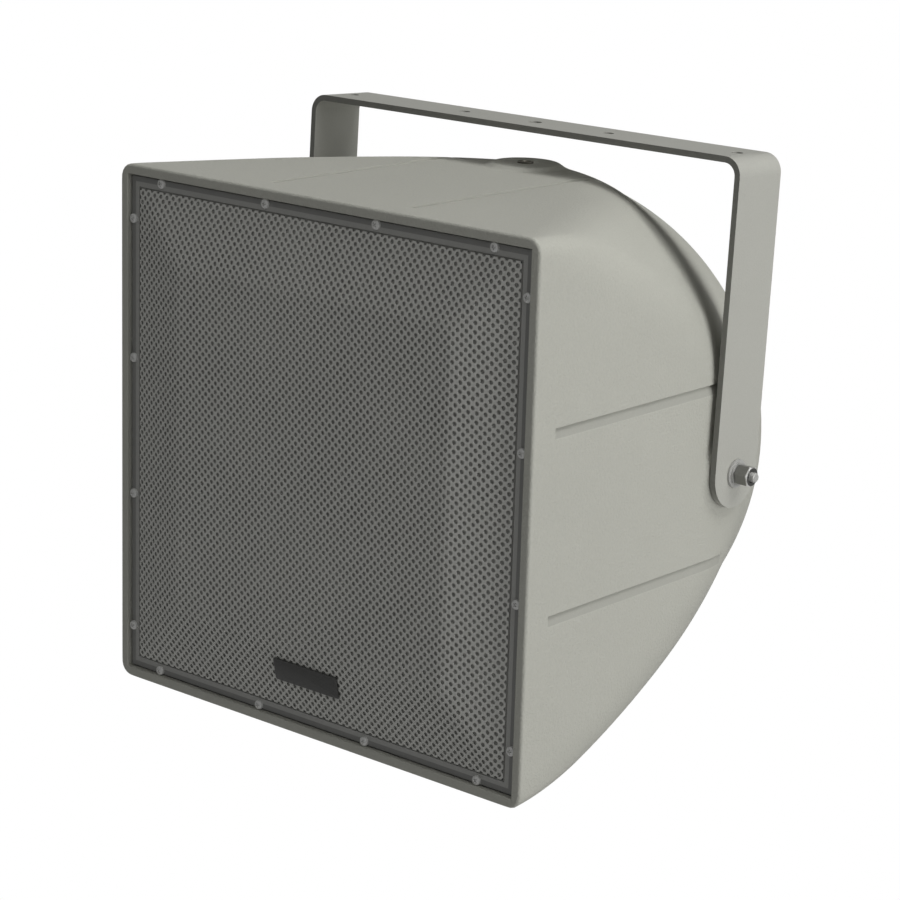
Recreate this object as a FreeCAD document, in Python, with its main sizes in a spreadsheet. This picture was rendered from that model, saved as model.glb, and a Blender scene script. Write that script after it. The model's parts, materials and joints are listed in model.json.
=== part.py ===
import FreeCAD, Part
import math
import operator
import os

import Sketcher

# Horn loudspeaker on its yoke. Lengths are millimetres and angles degrees.
# The part's frame: origin at the middle of the bar's centre hole, in the bar's top face, +Z up, and the mouth
# towards -Y.
# The cabinet's own frame: origin between its two side studs, +Y straight back. The cabinet is aimed a little
# down, so this frame is turned about X and hangs below the part's origin.
# Depths are counted from the front of the mouth's lip.

SIZES = {
    # yoke
    "yoke_width": 67.0,
    "yoke_thickness": 6.0,
    "yoke_room": 31.9,
    "yoke_bend_radius": 12.0,
    "bar_centre_hole_radius": 7.0,
    "bar_hole_radius": 5.5,
    "bar_inner_spacing": 182.0,
    "bar_outer_spacing": 485.0,
    "pivot_gap": 0.2,
    "aim_down": 2.45,
    # cabinet, outside
    "mouth_size": 522.0,
    "mouth_corner_radius": 12.0,
    "side_draft": 0.28,
    "cabinet_depth": 447.0,
    "back_sphere_radius": 262.6,
    "back_sphere_depth": 270.0,
    "corner_cone_angle": 18.9,
    "back_edge_radius": 10.0,
    "lip_edge_radius": 6.0,
    "cutter_room": 20.0,
    "pivot_depth": 298.5,
    # cabinet, inside
    "cabinet_wall": 6.0,
    "lip_width": 10.0,
    "ledge_width": 15.0,
    "ledge_depth": 14.0,
    "ledge_thickness": 8.0,
    # grooves in the flat sides
    "groove_spacing": 173.0,
    "groove_width": 8.8,
    "groove_floor_width": 6.2,
    "groove_cut": 3.8,
    "groove_start": 31.0,
    "groove_end": 325.0,
    # pads that carry the inserts
    "pad_height": 264.1,
    "pad_radius": 34.0,
    "pad_flank": 14.0,
    "pad_core_radius": 16.0,
    "pad_core_depth": 28.0,
    "insert_radius": 8.0,
    "insert_length": 20.0,
    "insert_clearance": 0.05,
    "insert_room": 3.0,
    "insert_chamfer": 1.2,
    # pivot fasteners
    "stud_radius": 4.9,
    "thread_clearance": 0.1,
    "stud_grip": 17.0,
    "stud_end": 6.0,
    "stud_chamfer": 1.0,
    "arm_hole_radius": 5.5,
    "large_washer_radius": 14.0,
    "large_washer_thickness": 2.0,
    "small_washer_radius": 11.2,
    "small_washer_thickness": 1.8,
    "washer_bore_radius": 5.3,
    "nut_flats": 17.0,
    "nut_length": 15.0,
    # grille
    "grille_gap": 1.5,
    "grille_corner_radius": 4.0,
    "grille_sheet": 1.5,
    "horn_seat": 6.0,
    "grille_field": 480.0,
    "crown_flat": 344.0,
    "crown_rise": 14.5,
    "crown_corner_radius": 10.0,
    "cell_pitch": 56.0,
    "cell_reach": 20.0,
    "foam_thickness": 3.0,
    "foam_gap": 0.2,
    "foam_inset": 1.0,
    "badge_length": 88.0,
    "badge_width": 25.0,
    "badge_thickness": 2.5,
    "badge_drop": 197.0,
    # grille screws
    "screw_line": 246.0,
    "screw_spacing": 138.3,
    "screw_radius": 2.4,
    "screw_clearance": 0.15,
    "screw_head_radius": 4.7,
    "screw_head_height": 3.2,
    "screw_head_edge": 1.0,
    "grille_screw_length": 7.5,
    "screw_tip_room": 1.0,
    # bass horn
    "horn_wall": 5.0,
    "horn_flange_gap": 0.5,
    "horn_mouth": 460.0,
    "horn_mouth_radius": 24.0,
    "horn_waist": 356.0,
    "horn_waist_radius": 110.0,
    "horn_waist_depth": 100.0,
    "throat_radius": 142.0,
    "throat_depth": 236.0,
    "throat_ring_radius": 162.0,
    "throat_ring_thickness": 10.0,
    "seam": 0.1,
    # woofer
    "gasket_thickness": 2.0,
    "woofer_gasket_radius": 143.0,
    "basket_radius": 156.0,
    "basket_opening_radius": 134.0,
    "basket_flange_thickness": 3.0,
    "basket_wall": 2.5,
    "basket_shoulder_radius": 145.0,
    "basket_ledge_depth": 62.0,
    "basket_ledge_radius": 87.0,
    "basket_ledge_width": 12.0,
    "basket_length": 88.0,
    "basket_back_radius": 84.0,
    "basket_back_opening_radius": 44.0,
    "basket_window_width": 46.0,
    "basket_window_start": 14.0,
    "basket_window_end": 52.0,
    "woofer_screw_circle_radius": 150.5,
    "woofer_screw_length": 12.0,
    "top_plate_radius": 60.0,
    "top_plate_thickness": 8.0,
    "coil_gap_radius": 32.6,
    "magnet_radius": 74.0,
    "magnet_bore_radius": 42.0,
    "magnet_thickness": 18.0,
    "back_plate_radius": 70.0,
    "back_plate_thickness": 8.0,
    "pole_radius": 29.4,
    "pole_vent_radius": 12.0,
    # moving cone
    "former_radius": 30.6,
    "former_wall": 0.5,
    "former_front": 4.0,
    "winding_wall": 1.2,
    "winding_length": 12.0,
    "cone_rim_radius": 124.0,
    "cone_rim_width": 6.0,
    "cone_depth": 54.0,
    "cone_sheet": 1.2,
    "surround_land": 7.5,
    "surround_sheet": 0.8,
    "surround_roll_width": 9.6,
    "surround_roll_radius": 5.0,
    "surround_inner_land": 5.5,
    "spider_sheet": 0.8,
    "spider_ridge": 2.0,
    "dust_cap_radius": 42.0,
    "dust_cap_rise": 12.0,
    "dust_cap_sheet": 0.8,
    # treble horn and driver
    "treble_mouth": 184.0,
    "treble_mouth_depth": 62.0,
    "treble_mouth_radius": 14.0,
    "treble_waist": 80.0,
    "treble_waist_depth": 108.0,
    "treble_waist_radius": 28.0,
    "treble_throat_radius": 13.0,
    "treble_wall": 3.0,
    "treble_flange_radius": 44.0,
    "treble_flange_thickness": 6.0,
    "bracket_depth": 171.0,
    "bracket_end_gap": 15.0,
    "bracket_width": 40.0,
    "bracket_eye_radius": 47.0,
    "bracket_thickness": 4.0,
    "bracket_screw_inset": 6.0,
    "bracket_screw_spacing": 22.0,
    "bracket_screw_length": 14.0,
    "lug_length": 12.0,
    "lug_width": 44.0,
    "lug_depth": 16.0,
    "driver_radius": 48.0,
    "driver_length": 34.0,
    "driver_cap_radius": 37.0,
    "driver_cap_length": 15.0,
    "driver_edge": 3.0,
    "driver_mouth_depth": 8.0,
    "driver_screw_reach": 25.5,
    "driver_screw_length": 20.0,
    # crossover
    "board_length": 160.0,
    "board_width": 90.0,
    "board_thickness": 1.6,
    "board_clearance": 6.0,
    "standoff_radius": 4.0,
    "standoff_length": 12.0,
    "standoff_inset": 6.0,
    "board_screw_radius": 1.6,
    "board_screw_head_radius": 3.0,
    "board_screw_head_height": 2.0,
    "board_screw_length": 16.0,
    "inductor_radius": 21.0,
    "inductor_core_radius": 9.0,
    "inductor_height": 18.0,
    "inductor_pitch": 60.0,
    "inductor_rise": 22.0,
    "capacitor_radius": 11.0,
    "capacitor_length": 34.0,
    "capacitor_pitch": 44.0,
    "capacitor_drop": 12.0,
    "resistor_size": 10.0,
    "resistor_length": 50.0,
    "resistor_drop": 34.0,
    # input
    "input_drop": 60.0,
    "input_length": 150.0,
    "input_width": 96.0,
    "input_corner_radius": 6.0,
    "input_cover_thickness": 3.0,
    "input_gasket_thickness": 1.5,
    "input_opening_length": 118.0,
    "input_opening_width": 64.0,
    "input_screw_inset": 8.0,
    "input_screw_length": 9.5,
    "strip_length": 62.0,
    "strip_width": 20.0,
    "strip_height": 14.0,
    "strip_offset": 22.0,
    "gland_offset": 40.0,
    "gland_thread_radius": 8.0,
    "gland_clearance": 0.2,
    "gland_bore_radius": 5.0,
    "gland_flats": 22.0,
    "gland_hex_length": 6.0,
    "gland_dome_radius": 10.5,
    "gland_dome_length": 14.0,
    "gland_dome_edge": 3.0,
    "gland_thread_length": 12.0,
    "gland_nut_length": 5.0,
}

OPERATORS = {"+": operator.add, "-": operator.sub, "*": operator.mul, "/": operator.truediv}


class Size:
    """A number together with the sheet formula that it comes from."""

    def __init__(self, value, formula):
        self.value = value
        self.formula = formula

    def joined(self, sign, other, swapped=False):
        left, right = (as_size(other), self) if swapped else (self, as_size(other))
        value = OPERATORS[sign](left.value, right.value)
        return Size(value, "(" + left.formula + " " + sign + " " + right.formula + ")")

    def __add__(self, other):
        return self.joined("+", other)

    def __radd__(self, other):
        return self.joined("+", other, True)

    def __sub__(self, other):
        return self.joined("-", other)

    def __rsub__(self, other):
        return self.joined("-", other, True)

    def __mul__(self, other):
        return self.joined("*", other)

    def __rmul__(self, other):
        return self.joined("*", other, True)

    def __truediv__(self, other):
        return self.joined("/", other)

    def __neg__(self):
        return self.joined("*", -1.0)


class SizeSheet:
    """Reads each named size as a Size bound to its cell."""

    def __getattr__(self, name):
        return Size(SIZES[name], "sizes." + name)


def as_size(number):
    return number if isinstance(number, Size) else Size(float(number), repr(float(number)))


def sine(angle):
    return Size(math.sin(math.radians(angle.value)), "sin(" + angle.formula + ")")


def cosine(angle):
    return Size(math.cos(math.radians(angle.value)), "cos(" + angle.formula + ")")


def tangent(angle):
    return sine(angle) / cosine(angle)


def root(area):
    return Size(math.sqrt(area.value), "sqrt(" + area.formula + ")")


def hypotenuse_leg(hypotenuse, leg):
    return root(hypotenuse * hypotenuse - leg * leg)


size = SizeSheet()
doc = FreeCAD.newDocument("horn_loudspeaker")
sheet = doc.addObject("Spreadsheet::Sheet", "sizes")
for row, (alias, number) in enumerate(SIZES.items(), start=1):
    sheet.set("A" + str(row), alias)
    sheet.set("B" + str(row), str(number))
    sheet.setAlias("B" + str(row), alias)
doc.recompute()

bound = []
nodes = []


def bind(target, path, amount):
    """Ties one property of an object to the sheet, and remembers it for the check at the end."""
    amount = as_size(amount)
    if "sizes." in amount.formula:
        target.setExpression(path, amount.formula)
        bound.append((target, path, amount.value))
    return amount.value


# Frames

# The bar stands clear of the top pad, which the cabinet can turn under it
yoke_drop = size.pad_height + size.yoke_thickness + size.yoke_room
aim = size.aim_down
pivot_rotation = FreeCAD.Rotation(FreeCAD.Vector(1, 0, 0), aim.value)
cabinet_frame = FreeCAD.Placement(FreeCAD.Vector(0, 0, -yoke_drop.value), pivot_rotation)


def in_cabinet(part):
    """Puts a piece that is drawn in the cabinet's own frame where the cabinet hangs."""
    part.Placement = cabinet_frame
    bind(part, "Placement.Base.z", -yoke_drop)
    bind(part, "Placement.Rotation.Angle", aim)


def behind_lip(depth):
    return as_size(depth) - size.pivot_depth


# Drawing helpers

PLANES = {"xy": "XY_Plane", "xz": "XZ_Plane", "yz": "YZ_Plane"}


def origin_feature(body, role):
    return next(feature for feature in body.Origin.OriginFeatures if feature.Role == role)


def new_body(label, hung=True, node=True):
    body = doc.addObject("PartDesign::Body", label)
    body.Label = label
    if hung:
        in_cabinet(body)
    if node:
        nodes.append(body)
    return body


def group(label, piece, places, axis=(0, 0, 1)):
    """Several copies of one piece as one node. A place is (x, y, z, turn about the axis)."""
    copies = []
    for number, (x, y, z, angle) in enumerate(places):
        copy = doc.addObject("App::Link", label + "_" + str(number))
        copy.LinkedObject = piece
        amounts = [as_size(part) for part in (x, y, z)]
        copy.Placement = FreeCAD.Placement(
            FreeCAD.Vector(*[part.value for part in amounts]), FreeCAD.Rotation(FreeCAD.Vector(*axis), angle))
        for name, amount in zip("xyz", amounts):
            bind(copy, "Placement.Base." + name, amount)
        copies.append(copy)
    together = doc.addObject("Part::Compound", label)
    together.Label = label
    together.Links = copies
    in_cabinet(together)
    nodes.append(together)
    return together


def new_sketch(body, name, plane, shift=(0, 0, 0)):
    """A sketch on one of the body's planes. shift is along the sketch's own x, y and normal."""
    sketch = body.newObject("Sketcher::SketchObject", body.Label + "_" + name)
    sketch.AttachmentSupport = (origin_feature(body, PLANES[plane]), [""])
    sketch.MapMode = "FlatFace"
    amounts = [as_size(part) for part in shift]
    sketch.AttachmentOffset = FreeCAD.Placement(
        FreeCAD.Vector(*[part.value for part in amounts]), FreeCAD.Rotation())
    for axis, amount in zip("xyz", amounts):
        bind(sketch, "AttachmentOffset.Base." + axis, amount)
    return sketch


def constrain(sketch, kind, *terms):
    """Adds a constraint whose last term is a size, and ties it to the sheet."""
    amount = as_size(terms[-1])
    index = sketch.addConstraint(Sketcher.Constraint(kind, *terms[:-1], amount.value))
    bind(sketch, "Constraints[" + str(index) + "]", amount)


def pin(sketch, edge, point, x, y):
    """Fixes one point of an edge at x and y from the sketch's origin."""
    for kind, axis, amount in (("DistanceX", -2, as_size(x)), ("DistanceY", -1, as_size(y))):
        if amount.value == 0.0 and "sizes." not in amount.formula:
            sketch.addConstraint(Sketcher.Constraint("PointOnObject", edge, point, axis))
        else:
            constrain(sketch, kind, -1, 1, edge, point, amount)


def flat(point):
    return FreeCAD.Vector(as_size(point[0]).value, as_size(point[1]).value, 0)


def arc_between(start, end, radius, side):
    """The short arc from start to end. side 1 bulges to the right of the way there, -1 to the left."""
    chord = end - start
    reach = math.sqrt(max(radius * radius - chord.Length * chord.Length / 4.0, 0.0))
    right = FreeCAD.Vector(chord.y, -chord.x, 0).normalize()
    centre = (start + end) * 0.5 - right * (side * reach)
    first, last = (start, end) if side > 0 else (end, start)
    angles = [math.atan2(point.y - centre.y, point.x - centre.x) for point in (first, last)]
    if angles[1] < angles[0]:
        angles[1] += 2.0 * math.pi
    return Part.ArcOfCircle(Part.Circle(centre, FreeCAD.Vector(0, 0, 1), radius), angles[0], angles[1])


def draw_outline(sketch, points, bends=None):
    """A closed outline. bends maps the number of a side to the radius and bulge of its arc."""
    bends = bends or {}
    first = sketch.GeometryCount
    count = len(points)
    ends = []
    for number, point in enumerate(points):
        start, end = flat(point), flat(points[(number + 1) % count])
        if number in bends:
            radius, side = bends[number]
            edge = sketch.addGeometry(arc_between(start, end, as_size(radius).value, side), False)
            ends.append((edge, 1, 2) if side > 0 else (edge, 2, 1))
        else:
            edge = sketch.addGeometry(Part.LineSegment(start, end), False)
            ends.append((edge, 1, 2))
    for number in range(count):
        edge, head, tail = ends[number]
        following, next_head, next_tail = ends[(number + 1) % count]
        sketch.addConstraint(Sketcher.Constraint("Coincident", edge, tail, following, next_head))
    for number, point in enumerate(points):
        edge, head, tail = ends[number]
        pin(sketch, edge, head, point[0], point[1])
    for number, (radius, side) in bends.items():
        constrain(sketch, "Radius", first + number, radius)


def draw_circle(sketch, x, y, radius):
    circle = Part.Circle(flat((x, y)), FreeCAD.Vector(0, 0, 1), as_size(radius).value)
    edge = sketch.addGeometry(circle, False)
    pin(sketch, edge, 3, x, y)
    constrain(sketch, "Radius", edge, radius)


def draw_hexagon(sketch, x, y, across_flats):
    reach = across_flats / math.sqrt(3.0)
    half = across_flats / 2.0
    draw_outline(sketch, [
        (x + reach, y),
        (x + reach / 2.0, y + half),
        (x - reach / 2.0, y + half),
        (x - reach, y),
        (x - reach / 2.0, y - half),
        (x + reach / 2.0, y - half),
    ])


def draw_rectangle(sketch, half_x, half_y, x=0, y=0):
    x, y = as_size(x), as_size(y)
    draw_outline(sketch, [
        (x + half_x, y - half_y),
        (x + half_x, y + half_y),
        (x - half_x, y + half_y),
        (x - half_x, y - half_y),
    ])


def draw_rounded(sketch, half_x, half_y, corner, x=0, y=0):
    """A rectangle with round corners."""
    x, y = as_size(x), as_size(y)
    left, right, low, high = x - half_x, x + half_x, y - half_y, y + half_y
    points = [
        (left + corner, low), (right - corner, low),
        (right, low + corner), (right, high - corner),
        (right - corner, high), (left + corner, high),
        (left, high - corner), (left, low + corner),
    ]
    draw_outline(sketch, points, {side: (corner, 1) for side in (1, 3, 5, 7)})


def pad(body, sketch, length, backwards=False, midplane=False, taper=None):
    feature = body.newObject("PartDesign::Pad", sketch.Label + "_pad")
    feature.Profile = sketch
    feature.Length = bind(feature, "Length", length)
    feature.Reversed = backwards
    feature.Midplane = midplane
    if taper is not None:
        feature.TaperAngle = bind(feature, "TaperAngle", taper)
    sketch.Visibility = False
    return feature


def pocket(body, sketch, length, midplane=False, forwards=False):
    """Cuts a sketch into the body: on the xz plane backwards, or towards the mouth with forwards set."""
    doc.recompute()
    before = body.Shape.Volume
    feature = body.newObject("PartDesign::Pocket", sketch.Label + "_pocket")
    feature.Profile = sketch
    feature.Length = bind(feature, "Length", length)
    feature.Reversed = forwards
    feature.Midplane = midplane
    doc.recompute()
    require_cut(body, feature, before)
    return feature


def require_cut(body, feature, before):
    if body.Shape.Volume >= before - 1e-3:
        raise ValueError(feature.Label + " cut nothing")


AXES = {"x": ("xz", "H_Axis"), "y": ("yz", "H_Axis"), "z": ("yz", "V_Axis")}


def turn(body, name, axis, points, bends=None, shift=(0, 0, 0), cut=False):
    """Revolves an outline of (along the axis, away from it) about an axis through the sketch's origin."""
    plane, line = AXES[axis]
    sketch = new_sketch(body, name, plane, shift)
    if axis == "z":
        points = [(radial, axial) for axial, radial in points]
        bends = {side: (radius, -bulge) for side, (radius, bulge) in (bends or {}).items()}
    draw_outline(sketch, points, bends)
    doc.recompute()
    before = body.Shape.Volume if cut else 0.0
    kind = "PartDesign::Groove" if cut else "PartDesign::Revolution"
    feature = body.newObject(kind, sketch.Label + ("_groove" if cut else "_turned"))
    feature.Profile = sketch
    feature.ReferenceAxis = (sketch, [line])
    feature.Angle = 360.0
    doc.recompute()
    if cut:
        require_cut(body, feature, before)
    return feature


def ring(body, name, axis, start, length, outer, inner, shift=(0, 0, 0), cut=False):
    """A tube, disc or washer from start to start + length."""
    start = as_size(start)
    end = start + length
    outline = [(start, inner), (start, outer), (end, outer), (end, inner)]
    return turn(body, name, axis, outline, None, shift, cut)


def mirror(body, feature, plane):
    copy = body.newObject("PartDesign::Mirrored", feature.Label + "_mirrored")
    copy.Originals = [feature]
    copy.MirrorPlane = (origin_feature(body, PLANES[plane]), [""])
    body.Tip = copy
    doc.recompute()
    return copy


def ring_of(body, features, count, axis="Y_Axis"):
    copies = body.newObject("PartDesign::PolarPattern", body.Label + "_ring_" + str(len(body.Group)))
    copies.Originals = features
    copies.Axis = (origin_feature(body, axis), [""])
    copies.Angle = 360.0
    copies.Occurrences = count
    body.Tip = copies
    doc.recompute()
    return copies


def rows_and_columns(body, feature, length, count):
    """Repeats a feature along X and along Z."""
    both = body.newObject("PartDesign::MultiTransform", feature.Label + "_rows")
    lines = []
    for axis in ("X_Axis", "Z_Axis"):
        line = body.newObject("PartDesign::LinearPattern", feature.Label + "_along_" + axis[0].lower())
        line.Direction = (origin_feature(body, axis), [""])
        line.Length = bind(line, "Length", length)
        line.Occurrences = count
        lines.append(line)
    both.Originals = [feature]
    both.Transformations = lines
    body.Tip = both
    doc.recompute()
    return both


def at_depth(depth):
    """The shift that puts a sketch on the xz plane at a depth behind the lip."""
    return (0, 0, -behind_lip(depth))


def loft(body, name, sections, cut=False, ruled=False):
    """Sections are (depth, half size, corner radius) of round-cornered squares."""
    sketches = []
    for number, (depth, half, corner) in enumerate(sections):
        sketch = new_sketch(body, name + "_" + str(number), "xz", at_depth(depth))
        draw_rounded(sketch, half, half, corner)
        sketches.append(sketch)
    doc.recompute()
    before = body.Shape.Volume if cut else 0.0
    kind = "PartDesign::SubtractiveLoft" if cut else "PartDesign::AdditiveLoft"
    feature = body.newObject(kind, body.Label + "_" + name)
    feature.Profile = sketches[0]
    feature.Sections = sketches[1:]
    feature.Ruled = ruled
    doc.recompute()
    if cut:
        require_cut(body, feature, before)
    return feature


# Depths and places that several pieces share

back_inside = size.cabinet_depth - size.cabinet_wall
screw_hole_radius = size.screw_radius + size.screw_clearance
grille_front = size.horn_seat - size.grille_sheet
throat_end = size.throat_depth + size.throat_ring_thickness
basket_front = throat_end + size.gasket_thickness
# The crossover sits above the motor, so that a longer horn can't push the magnet into it
board_rise = size.magnet_radius + size.board_clearance + size.board_width / 2.0


def mirrored_places(x, z):
    return [(x, z), (-x, z), (-x, -z), (x, -z)]


def input_screw_places():
    across = size.input_length / 2.0 - size.input_screw_inset
    along = size.input_width / 2.0 - size.input_screw_inset
    return [(x, z - size.input_drop) for x, z in mirrored_places(across, along)]


def board_screw_places():
    across = size.board_length / 2.0 - size.standoff_inset
    along = size.board_width / 2.0 - size.standoff_inset
    return [(x, z + board_rise) for x, z in mirrored_places(across, along)]


def woofer_screw_places():
    steps = [as_size(22.5 + 45.0 * number) for number in range(8)]
    radius = size.woofer_screw_circle_radius
    return [(radius * cosine(angle), radius * sine(angle)) for angle in steps]


def grille_screw_places():
    line = size.screw_line
    places = []
    for steps in (-1.5, -0.5, 0.5, 1.5):
        along = size.screw_spacing * steps
        places += [(along, line), (along, -line), (line, along), (-line, along)]
    return places


def driver_screw_places():
    return mirrored_places(size.driver_screw_reach, size.driver_screw_reach)


def bracket_screw_places():
    across = bracket_half() - size.bracket_screw_inset
    return mirrored_places(across, size.bracket_screw_spacing / 2.0)


def drill(body, name, depth, length, places, radius):
    """Round holes that end at a depth and come forward from there."""
    sketch = new_sketch(body, name, "xz", at_depth(depth))
    for x, z in places:
        draw_circle(sketch, x, z, radius)
    return pocket(body, sketch, length, forwards=True)


def plate(body, name, depth, thickness, draw):
    """A flat piece that lies across the cabinet's axis. draw fills its sketch."""
    sketch = new_sketch(body, name, "xz", at_depth(depth))
    draw(sketch)
    return pad(body, sketch, thickness, backwards=True)


def turned(body, name, points, bends=None, shift=(0, 0, 0)):
    """A turned piece about the cabinet's axis, from (depth, radius) points."""
    return turn(body, name, "y", [(behind_lip(depth), radius) for depth, radius in points], bends, shift)


def make_screw(label, radius, length, head_radius, head_height, head_edge):
    """A pan-head screw along +Y, with the underside of its head at the origin."""
    body = new_body(label, hung=False, node=False)
    turn(body, "shape", "y", [
        (-head_height, 0), (-head_height, head_radius - head_edge), (-head_height + head_edge, head_radius),
        (0, head_radius), (0, radius), (length, radius), (length, 0)])
    return body


def screws(label, length, depth, places, angle=0, head_edge=None):
    piece = make_screw(label + "_piece", size.screw_radius, length, size.screw_head_radius,
                       size.screw_head_height, head_edge or size.screw_head_edge)
    return group(label, piece, [(x, behind_lip(depth), z, angle) for x, z in places])


# Yoke: one steel strap bent twice, with round ends and seven holes

mouth_half = size.mouth_size / 2.0
arm_inside = size.pad_height + size.pivot_gap
arm_outside = arm_inside + size.yoke_thickness
strap_half = size.yoke_width / 2.0


def make_yoke():
    body = new_body("yoke", hung=False)
    bend = size.yoke_bend_radius
    outer_bend = bend + size.yoke_thickness
    foot = -yoke_drop - strap_half
    sketch = new_sketch(body, "strap", "xz")
    points = [
        (-arm_outside, foot), (-arm_outside, -outer_bend), (-arm_outside + outer_bend, 0),
        (arm_outside - outer_bend, 0), (arm_outside, -outer_bend), (arm_outside, foot),
        (arm_inside, foot), (arm_inside, -outer_bend), (arm_inside - bend, -size.yoke_thickness),
        (-arm_inside + bend, -size.yoke_thickness), (-arm_inside, -outer_bend), (-arm_inside, foot),
    ]
    draw_outline(sketch, points, {1: (outer_bend, -1), 3: (outer_bend, -1), 7: (bend, 1), 9: (bend, 1)})
    pad(body, sketch, size.yoke_width, midplane=True)
    ends = new_sketch(body, "round_ends", "yz")
    waste = strap_half + size.yoke_thickness
    draw_outline(ends, [
        (-strap_half, -yoke_drop), (0, foot), (strap_half, -yoke_drop), (waste, -yoke_drop),
        (waste, foot - size.yoke_thickness), (-waste, foot - size.yoke_thickness), (-waste, -yoke_drop),
    ], {0: (strap_half, 1), 1: (strap_half, 1)})
    pocket(body, ends, arm_outside * 2.0 + size.yoke_thickness, midplane=True)
    bar = new_sketch(body, "bar_holes", "xy")
    draw_circle(bar, 0, 0, size.bar_centre_hole_radius)
    for spacing in (size.bar_inner_spacing, size.bar_outer_spacing):
        draw_circle(bar, spacing / 2.0, 0, size.bar_hole_radius)
        draw_circle(bar, -spacing / 2.0, 0, size.bar_hole_radius)
    pocket(body, bar, size.yoke_thickness)
    arms = new_sketch(body, "arm_holes", "yz")
    draw_circle(arms, 0, -yoke_drop, size.arm_hole_radius)
    pocket(body, arms, arm_outside * 2.0, midplane=True)
    return body


# Cabinet: a drafted square prism, cut by a cone that runs smoothly into a sphere, then hollowed

def cut_to_cone_and_sphere(body, name, inset, back):
    """Takes away all that lies outside the cone and the sphere that it touches."""
    radius = size.back_sphere_radius - inset
    angle = size.corner_cone_angle
    touch_depth = size.back_sphere_depth + radius * sine(angle)
    touch_radius = radius * cosine(angle)
    front = -size.cutter_room
    front_radius = touch_radius + (touch_depth - front) * tangent(angle)
    back_radius = hypotenuse_leg(radius, back - size.back_sphere_depth)
    beyond = back + size.cutter_room
    waste = front_radius + size.cutter_room * 2.0
    turn(body, name, "y", [
        (behind_lip(front), front_radius),
        (behind_lip(touch_depth), touch_radius),
        (behind_lip(back), back_radius),
        (behind_lip(beyond), back_radius),
        (behind_lip(beyond), waste),
        (behind_lip(front), waste),
    ], {1: (radius, -1)}, cut=True)


def drafted_block(body, name, half, corner, start, back):
    sketch = new_sketch(body, name, "xz", at_depth(start))
    draw_rounded(sketch, half, half, corner)
    pad(body, sketch, back - start, backwards=True, taper=-size.side_draft)


def make_cavity():
    """The room inside the cabinet, one wall smaller all round."""
    body = new_body("cavity", hung=False, node=False)
    start = size.ledge_depth + size.ledge_thickness
    back = back_inside
    half = mouth_half - size.cabinet_wall - start * tangent(size.side_draft)
    drafted_block(body, "block", half, size.mouth_corner_radius, start, back)
    cut_to_cone_and_sphere(body, "round_back", size.cabinet_wall, back)
    return body


def edges_near(shape, test):
    return ["Edge" + str(number) for number, edge in enumerate(shape.Edges, start=1) if test(edge.BoundBox)]


def fillet(body, base, names, radius):
    feature = body.newObject("PartDesign::Fillet", base.Label + "_fillet")
    feature.Base = (base, names)
    feature.Radius = bind(feature, "Radius", radius)
    doc.recompute()
    return feature


def draw_groove_section(sketch, height):
    side = mouth_half - size.groove_start * tangent(size.side_draft)
    floor = side - size.groove_cut
    wide = size.groove_width / 2.0
    narrow = size.groove_floor_width / 2.0
    # The sloping walls run on past the surface by as much as the cut is deep
    spread = wide * 2.0 - narrow
    draw_outline(sketch, [
        (floor, height - narrow), (side + size.groove_cut, height - spread),
        (side + size.groove_cut, height + spread), (floor, height + narrow)])


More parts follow.
